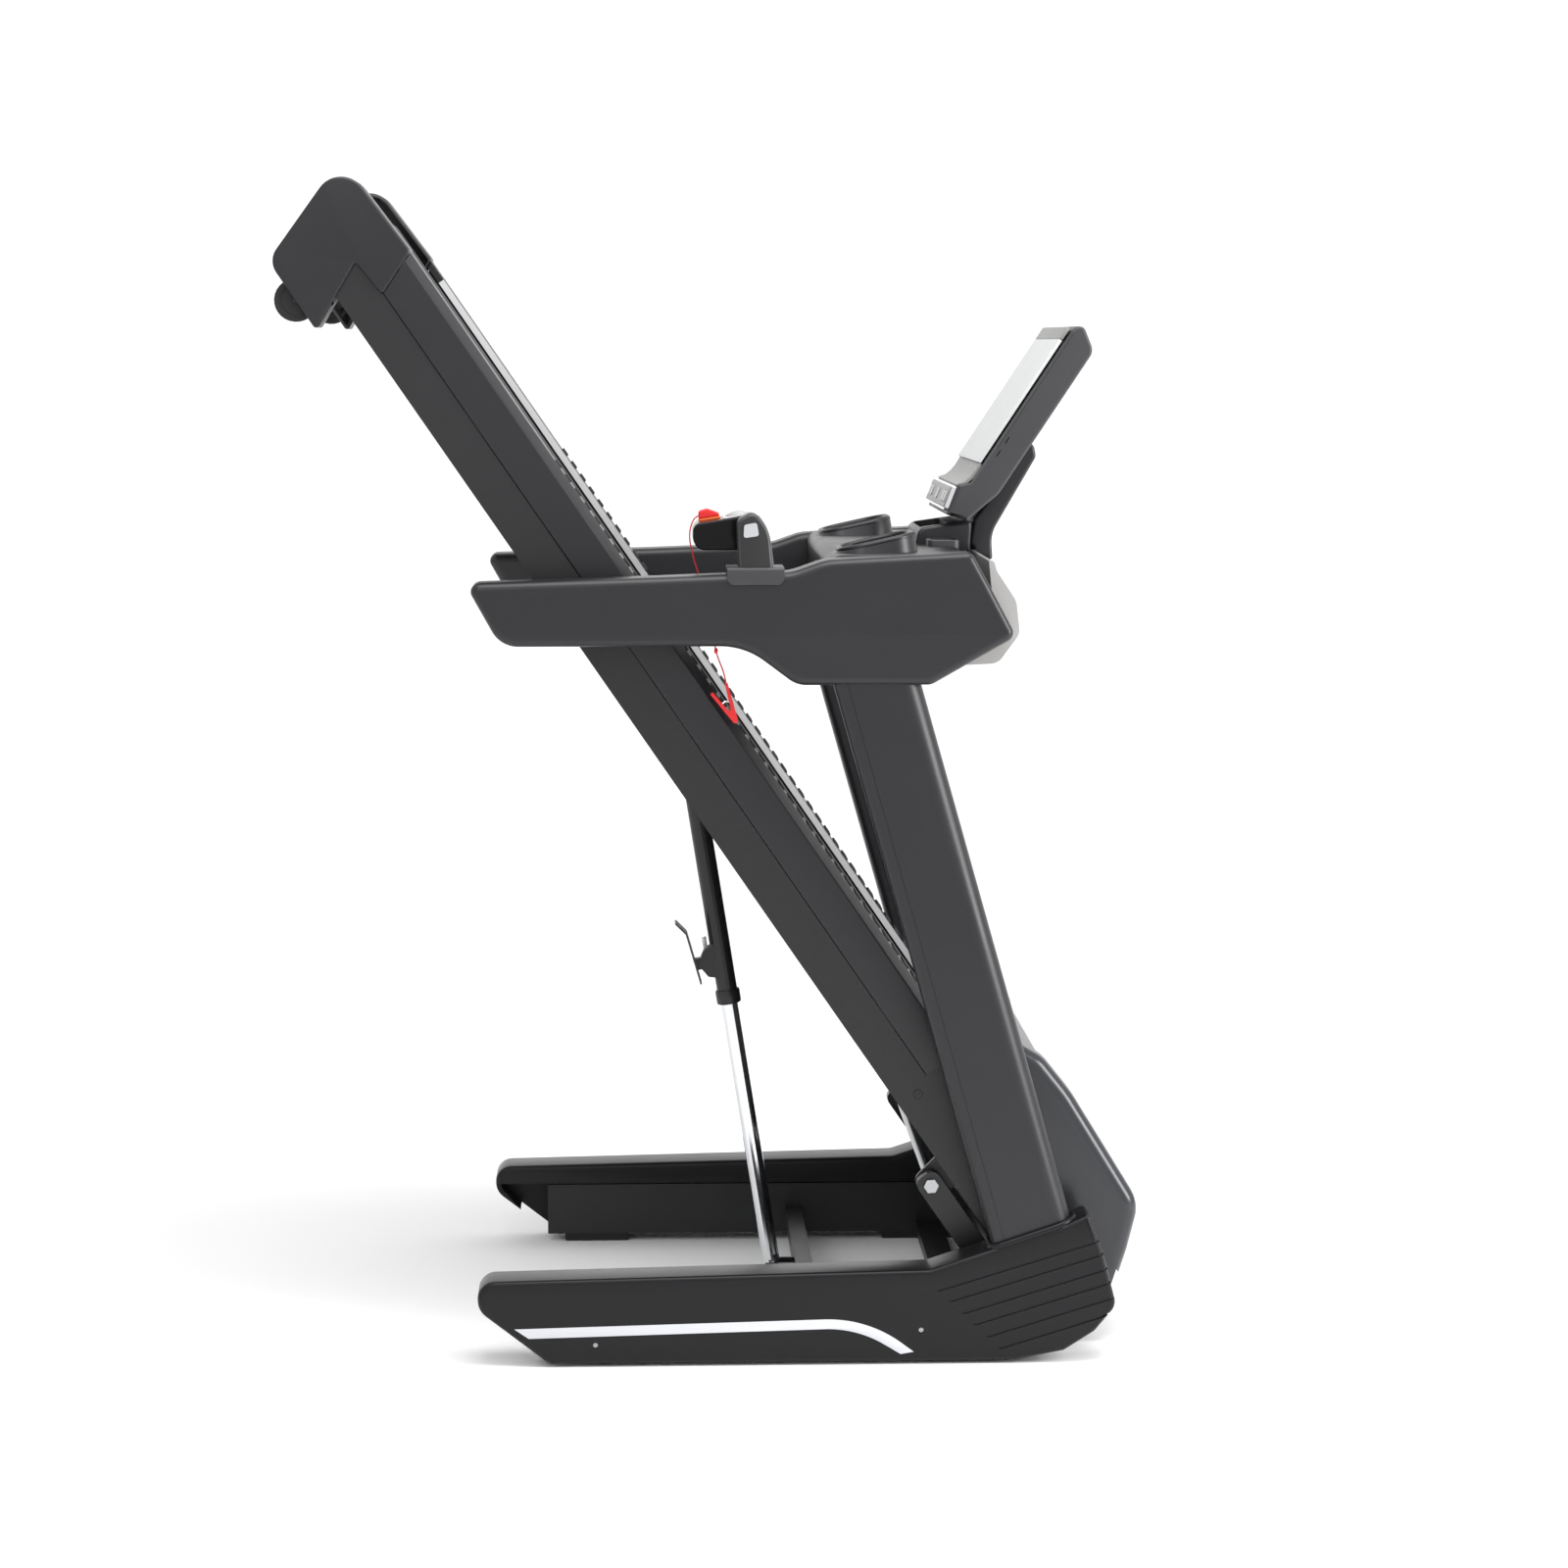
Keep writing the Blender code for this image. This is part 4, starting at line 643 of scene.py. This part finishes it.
def garment_clip():
    """V-shaped clip: two jaws and a spring bridge; the cord ends at its top."""
    legs = [(0.0292, 0.9385, 0.0015), (0.0335, 0.9385, 0.0015), (0.0478, 0.8872, 0.002),
            (0.0456, 0.8822, 0.0015), (0.0418, 0.8830, 0.0015), (0.0095, 0.9225, 0.0015),
            (0.0130, 0.9258, 0.0015), (0.0395, 0.8940, 0.002)]
    body = extruded(rounded(legs, 6), -0.3590, -0.3525, edge=0.0012)
    body = piece(body, "clip_body", RED, "red_plastic", "safety_key", MACHINE, "safety_clip")
    spring = tube([(0.0262, -0.3557, 0.9095), (0.0300, -0.3557, 0.9125), (0.0338, -0.3557, 0.9128),
                   (0.0375, -0.3557, 0.9105)], 0.0012)
    spring = piece(spring, "clip_spring", CHROME, "chrome", "safety_key", MACHINE)
    return [body, spring]


def key_pod():
    """Glossy pod with a round pocket for the button, under a silver plate with a hole."""
    outline = rounded([(-0.0135, 1.1565, 0.012), (-0.0135, 1.1205, 0.017), (0.072, 1.1205, 0.006),
                       (0.072, 1.1703, 0.004)], 10)
    body = extruded(outline, -0.3720, -0.2640, edge=0.003)
    pocket = extruded(rectangle(BUTTON_X - POCKET_R, BUTTON_X + POCKET_R, KEY_Y - POCKET_R,
                                KEY_Y + POCKET_R, POCKET_R, 8), -0.003, 0.010, plane="XY")
    pocket.data.transform(MACHINE.inverted() @ POD_TOP)
    boolean(body, pocket)
    piece(body, "pod_body", GLOSS, "gloss_plastic", "base", MACHINE, "key_pod")
    hole_r, hole_sides = 0.0163, 40
    hole = [Vector((BUTTON_X + hole_r * math.cos(a), KEY_Y + hole_r * math.sin(a)))
            for a in (2 * math.pi * i / hole_sides for i in range(hole_sides))]
    plate = extruded(rectangle(0.0325, 0.0745, -0.3690, -0.2670, (0.003, 0.001, 0.001, 0.003), 6),
                     0.0002, 0.0012, holes=(hole,), plane="XY")
    piece(plate, "pod_top_plate", SILVER, "pale_plastic", "base", POD_TOP)
    keep("pod_button", PALE_AND_PAINTED_SHEEN)
    NODES["pod_button"].data.set_sharp_from_angle(angle=math.radians(60))


def pod_bracket():
    """Saddle over the arm with a rounded pillar, its dark face and its paler front edge."""
    section = [(-0.4335, 1.0765, 0.002), (-0.4305, 1.0765, 0.0005), (-0.4305, 1.0945, 0.001),
               (-0.3595, 1.0945, 0.001), (-0.3595, 1.0765, 0.0005), (-0.3535, 1.0765, 0.002),
               (-0.3535, 1.1005, 0.005), (-0.4335, 1.1005, 0.005)]
    saddle = extruded(rounded(section, 5), 0.031, 0.109, edge=0.0012, plane="YZ")
    skirt = rounded([(0.0310, 1.1015, 0.003), (0.0310, 1.0760, 0.012), (0.1090, 1.0760, 0.012),
                     (0.1090, 1.1015, 0.003)], 8)
    boolean(saddle, extruded(skirt, -0.4400, -0.3400), "INTERSECT")
    pillar = rounded([(0.047, 1.0960, 0), (0.094, 1.0960, 0), (0.0890, 1.150, 0.05),
                      (0.068, 1.1760, 0.012), (0.045, 1.1640, 0.012)], 10)
    boolean(saddle, extruded(pillar, -0.4300, -0.3725, edge=0.006), "UNION")
    piece(saddle, "pod_bracket_body", GREY, "grey_plastic", "base", MACHINE, "key_pod_bracket",
          sharp=45)
    trim = [(0.0925, -0.4012, 1.1015), (0.0905, -0.4012, 1.1180), (0.0885, -0.4012, 1.1330),
            (0.0850, -0.4012, 1.1470), (0.0795, -0.4012, 1.1590), (0.0725, -0.4012, 1.1685)]
    band = extruded(offset(pillar, 0.0035), -0.4302, -0.4296, edge=0.0002, edge_steps=1)
    piece(band, "pod_bracket_face", DARKER, "grey_plastic", "base", MACHINE)
    edge = tube(smooth_route(trim, 0.003), 0.0030)
    piece(edge, "pod_bracket_edge", MID_GREY, "grey_plastic", "base", MACHINE)
    keep("pulse_plate", CHROME)


def safety_key():
    """Red wedge-shaped key on its orange seat."""
    outline = rounded([(-0.0012, 0.0034, 0.002), (0.0293, 0.0034, 0.002), (0.0275, 0.0080, 0.003),
                       (0.0130, 0.0160, 0.006), (0.0010, 0.0145, 0.004)], 8)
    wedge = extruded(outline, KEY_Y - KEY_HALF, KEY_Y + KEY_HALF, edge=0.0018)
    piece(wedge, "key_grip", RED, "red_plastic", "safety_key", POD_TOP, "safety_key", sharp=50)
    seat = extruded(rectangle(-0.0012, 0.0295, KEY_Y - KEY_HALF, KEY_Y + KEY_HALF, 0.003, 6),
                    0.0003, 0.0034, plane="XY", edge=0.0004, edge_steps=1)
    piece(seat, "key_seat", ORANGE, "red_plastic", "safety_key", POD_TOP)


# ------------------------------------------------------------------ console
CONSOLE_HALF = 0.3595
TRAY_TOP = 1.1130
TRAY = (0.194, 0.288, 0.215, 0.315)       # x and y range of each side tray
TRAY_CORNER = 0.030
TRAY_FLOOR = 1.0540


def tray_outline(side, grow=0.0, steps=8):
    """Rounded outline of a side tray, let out all round."""
    x0, x1, y0, y1 = TRAY
    return rectangle(x0 - grow, x1 + grow, side * (y0 - grow), side * (y1 + grow),
                     TRAY_CORNER + grow, steps)


def rim_height(x):
    """The side trays' raised rims climb towards the display."""
    return 1.1180 + (x - 0.200) * 0.22


def console_top():
    """Hollow console between the arms: a hump, two side trays and a slot in front of the display."""
    profile = rounded([(0.172, TRAY_TOP, 0.018), (0.176, 1.0300, 0.020), (0.2050, 1.0080, 0),
                       (0.3860, 1.0080, 0), (0.3980, 1.0300, 0), (0.3620, TRAY_TOP + 0.003, 0.010)], 8)
    top = extruded(profile, -CONSOLE_HALF, CONSOLE_HALF, edge=0.002)
    hump = rounded([(0.306, 1.100, 0), (0.3860, 1.100, 0), (0.3900, 1.1495, 0.006),
                    (0.3130, 1.1390, 0.014)], 8)
    boolean(top, extruded(hump, -0.105, 0.105, edge=0.005), "UNION")
    boolean(top, block(0.180, 0.383, -CONSOLE_HALF + WALL, CONSOLE_HALF - WALL, 1.000, 1.048))
    for side in SIDES.values():
        boolean(top, extruded(tray_outline(side), TRAY_FLOOR, 1.20, plane="XY"))
    slot = rectangle(0.3180, 0.3560, -0.085, 0.085, 0.010, 6)
    boolean(top, extruded(slot, 1.0900, 1.20, plane="XY"))
    piece(top, "console_top", CHARCOAL, "charcoal_plastic", "base", MACHINE, "console_tray", sharp=45)


def tray_skin(side, rings, floor=False):
    """A thin wall round a side tray, through rings of (distance outside its outline, height at x)."""
    shape = bmesh.new()
    loops = [[shape.verts.new((x, y, height(x))) for x, y in tray_outline(side, grow, 10)]
             for grow, height in rings]
    count = len(loops[0])
    for low, high in zip(loops, loops[1:]):
        for i in range(count):
            j = (i + 1) % count
            shape.faces.new((low[i], low[j], high[j], high[i]))
    if floor:
        shape.faces.new(loops[0])
    return solid(shape, "tray_skin")


def side_tray(name, side):
    """Raised rounded rim and wall of a side tray, with a paler liner inside."""
    rim = [(x, y, rim_height(x)) for x, y in tray_outline(side, 0.0026, 10)]
    piece(tube(rim, 0.0048, closed=True, sides=4), "tray_rim_" + name, CHARCOAL, "charcoal_plastic",
          "base", MACHINE)
    wall = tray_skin(side, [(0.0120, lambda x: TRAY_TOP - 0.002), (0.0068, rim_height)])
    piece(wall, "tray_wall_" + name, CHARCOAL, "charcoal_plastic", "base", MACHINE)
    liner = tray_skin(side, [(-0.0004, lambda x: TRAY_FLOOR + 0.0004), (-0.0004, rim_height)],
                      floor=True)
    piece(liner, "tray_liner_" + name, LINER, "pale_plastic", "base", MACHINE)


def console_pocket(name, side):
    """Small open pocket beside the hump."""
    outline = rectangle(0.322, 0.366, *between(side, 0.118, 0.172), 0.008, 6)
    holder = extruded(outline, 1.1000, 1.1250, edge=0.002, plane="XY")
    boolean(holder, extruded(offset(outline, 0.0035), 1.1060, 1.20, plane="XY"))
    piece(holder, "console_pocket_" + name, GREY, "grey_plastic", "base", MACHINE, sharp=45)


def console_back():
    """Rear cover that wraps under the console, coloured pale as a painted highlight: the sheen that its
    rounded back shows.
    """
    outline = rounded([(0.3990, 1.1080, 0.006), (0.4020, 1.0920, 0.03), (0.4300, 1.0500, 0.03),
                       (0.4350, 1.0050, 0.02), (0.4050, 0.9640, 0.02), (0.2300, 0.9560, 0.02),
                       (0.1800, 1.0020, 0)], 10)
    shell = extruded([*outline, Vector((0.4020, 1.0040))], -CONSOLE_HALF, CONSOLE_HALF)
    piece(shell, "console_rear_shell", PALE_AND_PAINTED_SHEEN, "pale_plastic", "base", MACHINE, "console_back_cover",
          sharp=35)


# ------------------------------------------------------------------ display
DISPLAY_HALF = 0.176
KEYS_AT = (-0.140, -0.105, 0.0, 0.105, 0.140)


def display():
    """Dark housing with side seams and ports, a blank screen and grey bezels above and below it."""
    shape = rounded([(0.3815, 1.2060, 0), (0.5240, 1.4205, 0.020), (0.5390, 1.4300, 0.010),
                     (0.5550, 1.3900, 0.018), (0.4220, 1.1900, 0.035), (0.3860, 1.1600, 0.020),
                     (0.3770, 1.1520, 0.004), (0.3475, 1.1605, 0.002), (0.3640, 1.2030, 0.003)], 10)
    housing = extruded(shape, -DISPLAY_HALF, DISPLAY_HALF, edge=0.0045, edge_steps=4)
    for side in SIDES.values():
        for x0, x1, deep, low, high in ((0.0075, 0.0085, 0.0008, 0.060, 0.252),
                                        (0.0125, 0.0145, 0.004, 0.0500, 0.0600),
                                        (0.0125, 0.0145, 0.004, 0.0720, 0.0820)):
            cut = block(x0, x1, *between(side, DISPLAY_HALF - deep, DISPLAY_HALF + 0.01), low, high)
            cut.data.transform(MACHINE.inverted() @ SCREEN_AXIS)
            boolean(housing, cut)
    piece(housing, "display_housing", GREY, "charcoal_plastic", "base", MACHINE, "display_back",
          sharp=45)
    half = DISPLAY_HALF - 0.0035
    window = extruded(rectangle(-half, half, 0.0290, 0.2360, 0.002, 4), -0.0040, 0.0006, plane="YZ",
                      edge=0.0006)
    piece(window, "display_window", SCREEN, "screen_glass", "base", SCREEN_AXIS, "display_glass")
    upper = extruded(rectangle(-half, half, 0.2364, 0.2570, (0.002, 0.002, 0.006, 0.006), 4),
                     -0.0040, 0.0004, plane="YZ", edge=0.0006)
    piece(upper, "display_bezel_upper", BEZEL, "grey_plastic", "base", SCREEN_AXIS)
    sweep = [(0.3943, 1.2328), (0.3880, 1.2222), (0.3810, 1.2134), (0.3725, 1.2068),
             (0.3620, 1.2032), (0.3630, 1.1995), (0.3745, 1.2030), (0.3840, 1.2105),
             (0.3925, 1.2205), (0.3975, 1.2310)]
    lower = extruded([Vector(p) for p in sweep], -half, half)
    piece(lower, "display_bezel_lower", BEZEL, "grey_plastic", "base", MACHINE, sharp=50)


def display_neck():
    """Bent arm behind the console that carries the display."""
    neck = rounded([(0.3900, 1.1140, 0), (0.4030, 1.0985, 0), (0.4240, 1.0880, 0.004),
                    (0.4215, 1.1280, 0.050), (0.4860, 1.2390, 0.012), (0.4820, 1.2590, 0.010),
                    (0.4705, 1.2590, 0), (0.4140, 1.1730, 0), (0.3960, 1.1500, 0)], 8)
    piece(extruded(neck, -0.060, 0.060, edge=0.005, edge_steps=4), "display_arm", CHARCOAL,
          "charcoal_plastic", "base", MACHINE, "display_neck", sharp=45)


def keypad():
    """Grey key strip with raised keys, in a chrome frame on the chin."""
    half = DISPLAY_HALF - 0.004
    outer = rectangle(-half, half, 0.0015, 0.0385, 0.004, 6)
    inner = offset(outer, 0.0030)
    rim = extruded(outer, -0.0062, -0.0005, holes=(inner,), plane="YZ")
    piece(rim, "keypad_frame", CHROME, "chrome", "base", KEYPAD_AXIS)
    strip = extruded(offset(outer, 0.0032), -0.0080, -0.0006, edge=0.0012, plane="YZ")
    for y in KEYS_AT:
        hole = rectangle(y - 0.0125, y + 0.0125, 0.0115, 0.0285, 0.003, 4)
        boolean(strip, extruded(hole, -0.010, 0.001, plane="YZ"))
    piece(strip, "keypad_strip", MID_GREY, "grey_plastic", "base", KEYPAD_AXIS, "keypad_panel",
          sharp=40)


# ------------------------------------------------------------------ strut
def coil(x, y, low, high, radius, wire, turns):
    """A coil spring of round wire, standing along z."""
    steps = int(turns * 16)
    points = [(x + radius * math.cos(2 * math.pi * turns * i / steps),
               y + radius * math.sin(2 * math.pi * turns * i / steps),
               low + (high - low) * i / steps) for i in range(steps + 1)]
    return tube(points, wire, sides=2)


def strut_trim():
    """Collar at the lower end of the black tube, and the two springs that hold the latch in."""
    collar = turned([(0.0131, -0.010), (0.0172, -0.010), (0.0180, -0.008), (0.0180, 0.008),
                     (0.0172, 0.010), (0.0131, 0.010)], 40)
    collar.data.transform(Matrix.Rotation(math.radians(90), 4, "X"))
    piece(collar, "strut_collar", STEEL_COAT, "coated_steel", "strut_tube",
          STRUT @ Matrix.Translation((0.0, 0.0, 0.416)))
    for name, side in SIDES.items():
        spring = coil(-0.0215, side * 0.0042, 0.4800, 0.5080, 0.0030, 0.0006, 9)
        piece(spring, "latch_spring_" + name, CHROME, "chrome", "strut_tube", STRUT)


# ------------------------------------------------------------------ deck
CAP = [(-1.6885, 0.1465, 0.008), (-1.8440, 0.1400, 0.036), (-1.7870, -0.0200, 0.028),
       (-1.6732, -0.0204, 0.0045), (-1.7184, 0.0762, 0.003), (-1.6617, 0.0808, 0.0045)]
CAP_EDGE = 0.004
RAIL_TOP = 0.0825
FOOT_FRONT = -0.3535
PAD_START, PAD_PITCH, PAD_COUNT, PAD_LENGTH = -1.345, 0.0235, 40, 0.0130


def foot_rail(name, side):
    """Rail cover beside the belt, with a bright strip and a row of raised rubber pads."""
    section = [(0.3478, RAIL_TOP + 0.0010, 0.001), (0.3480, 0.1335, 0.004), (0.3250, 0.1445, 0.006),
               (0.2640, 0.1445, 0.002), (0.2640, 0.1345, 0), (0.2672, 0.1345, 0), (0.2672, 0.1412, 0),
               (0.3240, 0.1412, 0), (0.3448, 0.1312, 0), (0.3448, 0.1150, 0), (0.3465, 0.1140, 0),
               (0.3465, RAIL_TOP + 0.0010, 0)]
    outline = [Vector((side * y, z)) for y, z in rounded(section, 5)]
    rail = extruded(outline, -1.720, FOOT_FRONT, plane="YZ")
    boolean(rail, extruded(offset(rounded(CAP, 4), -0.0006), *between(side, 0.25, 0.36)))
    piece(rail, "foot_rail_shell_" + name, CHARCOAL, "charcoal_plastic", "deck", DECK,
          "foot_rail_" + name, sharp=30)
    strip = block(-1.655, FOOT_FRONT - 0.002, *between(side, 0.2628, 0.2639), 0.1350, 0.1440)
    piece(strip, "rail_strip_" + name, ALUMINIUM, "chrome", "deck", DECK)
    pad = rounded([(side * 0.2720, 0.1446, 0), (side * 0.3200, 0.1446, 0),
                   (side * 0.3180, 0.1474, 0.0015), (side * 0.2740, 0.1474, 0.0015)], 3)
    pads = [extruded(pad, x, x + PAD_LENGTH, edge=0.0012, edge_steps=2, plane="YZ")
            for x in (PAD_START + index * PAD_PITCH for index in range(PAD_COUNT))]
    piece(merged(pads), "rail_pads_" + name, RUBBER, "rubber", "deck", DECK, sharp=60)


def end_cap(name, side):
    """Hollow cap on a rail's rear end, open towards the rail and over its wheel."""
    shell = extruded(rounded(CAP, 12), *between(side, 0.2645, 0.3520), edge=CAP_EDGE, edge_steps=4)
    boolean(shell, extruded(offset(rounded(CAP, 4), 0.0045), *between(side, 0.2500, 0.3470)))
    boolean(shell, block(-1.80, -1.60, *between(side, 0.3150, 0.3468), 0.0267, 0.0833))
    boolean(shell, block(-1.755, -1.690, *between(side, 0.3120, 0.3465), -0.06, 0.02))
    piece(shell, "end_cap_shell_" + name, CHARCOAL, "charcoal_plastic", "deck", DECK,
          "end_cap_" + name, sharp=45)


def deck_plate_bolt(name, side):
    """Bolt head on the front plate."""
    bolt = turned([(0.0, side * 0.3484), (0.0022, side * 0.3484), (0.0024, side * 0.3476),
                   (0.0058, side * 0.3476), (0.0064, side * 0.3468), (0.0064, side * 0.3460),
                   (0.0, side * 0.3460)], 28)
    bolt.data.transform(Matrix.Translation((-0.3373, 0.0, 0.0585)))
    piece(bolt, "deck_bolt_" + name, STEEL_COAT, "coated_steel", "deck", DECK)


HOOD = [(-0.3780, 0.1490, 0.0205), (-0.3450, 0.1960, 0.03), (-0.2700, 0.2300, 0.06),
        (-0.2064, 0.2345, 0.2), (-0.0200, 0.2250, 0.05), (0.0246, 0.1741, 0.10),
        (0.0842, 0.0960, 0.0205)]
HOOD_EDGE = 0.020


def hood():
    """Motor hood: a pale crowned top between two dark side covers."""
    top = rounded([*HOOD, (-0.3480, 0.1120, 0)], 14)
    dark = extruded(top, -0.3100, 0.3100, edge=HOOD_EDGE, edge_steps=6)
    boolean(dark, block(-0.345, 0.072, -0.305, 0.305, 0.05, 0.145))
    boolean(dark, block(-0.40, -0.27, -0.3035, 0.3035, 0.08, 0.1345))
    boolean(dark, block(-0.250, -0.226, -0.32, 0.32, 0.08, 0.118))
    piece(dark, "hood_shell", HOOD_PAINT, "charcoal_plastic", "deck", DECK, "motor_hood", sharp=40)
    crown = [p for p in rounded(HOOD, 14) if p.y > 0.165 and -0.335 < p.x < 0.030]
    skin = [p + Vector((0.0, 0.0004)) for p in crown]
    skin += [p - Vector((0.0, 0.0020)) for p in crown[::-1]]
    piece(extruded(skin, -0.2700, 0.2700), "hood_panel", SILVER, "pale_plastic", "deck", DECK)


make_camera()
make_studio()
make_floor()
safety_cord()
key_pod()
pod_bracket()
safety_key()
for label, way in SIDES.items():
    base_cover(label, way)
    upright_collar(label, way)
    upright(label, way)
    arm(label, way)
    side_tray(label, way)
    console_pocket(label, way)
    foot_rail(label, way)
    end_cap(label, way)
    deck_plate_bolt(label, way)
    for node in ("rear_foot_", "front_foot_", "transport_wheel_", "deck_wheel_"):
        keep(node + label, RUBBER)
    keep("handrail_tube_" + label, STEEL_COAT)
console_top()
console_back()
display()
display_neck()
keypad()
strut_trim()
hood()
for key in ("incline_down_button", "incline_up_button", "start_stop_button", "speed_down_button",
            "speed_up_button"):
    keep(key, PALE_AND_PAINTED_SHEEN, bevel=0.0005)
for node, finish, bevel in (
        ("base_frame", STEEL_COAT, 0.0015), ("deck_frame", STEEL_COAT, 0.0012),
        ("lift_frame", STEEL_COAT, 0.0015), ("strut_tube", STEEL_COAT, 0.0),
        ("strut_rod", CHROME, 0.0), ("strut_pin", BRUSHED, 0.0), ("latch_pedal", GREY, 0.0006),
        ("fold_shaft", BRUSHED, 0.0), ("incline_shaft", BRUSHED, 0.0), ("incline_screw", CHROME, 0.0),
        ("running_board", BOARD, 0.001), ("running_belt", BELT, 0.0), ("front_roller", BRUSHED, 0.0),
        ("rear_roller", BRUSHED, 0.0), ("motor_pan", DARKER, 0.001), ("drive_motor", STEEL_COAT, 0.0),
        ("motor_pulley", BRUSHED, 0.0), ("drive_belt", RUBBER, 0.0), ("incline_motor", BRUSHED, 0.0),
        ("power_inlet", GLOSS, 0.0008), ("power_switch", RED, 0.0006)):
    keep(node, finish, bevel)

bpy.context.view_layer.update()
bpy.data.collections.remove(workshop)
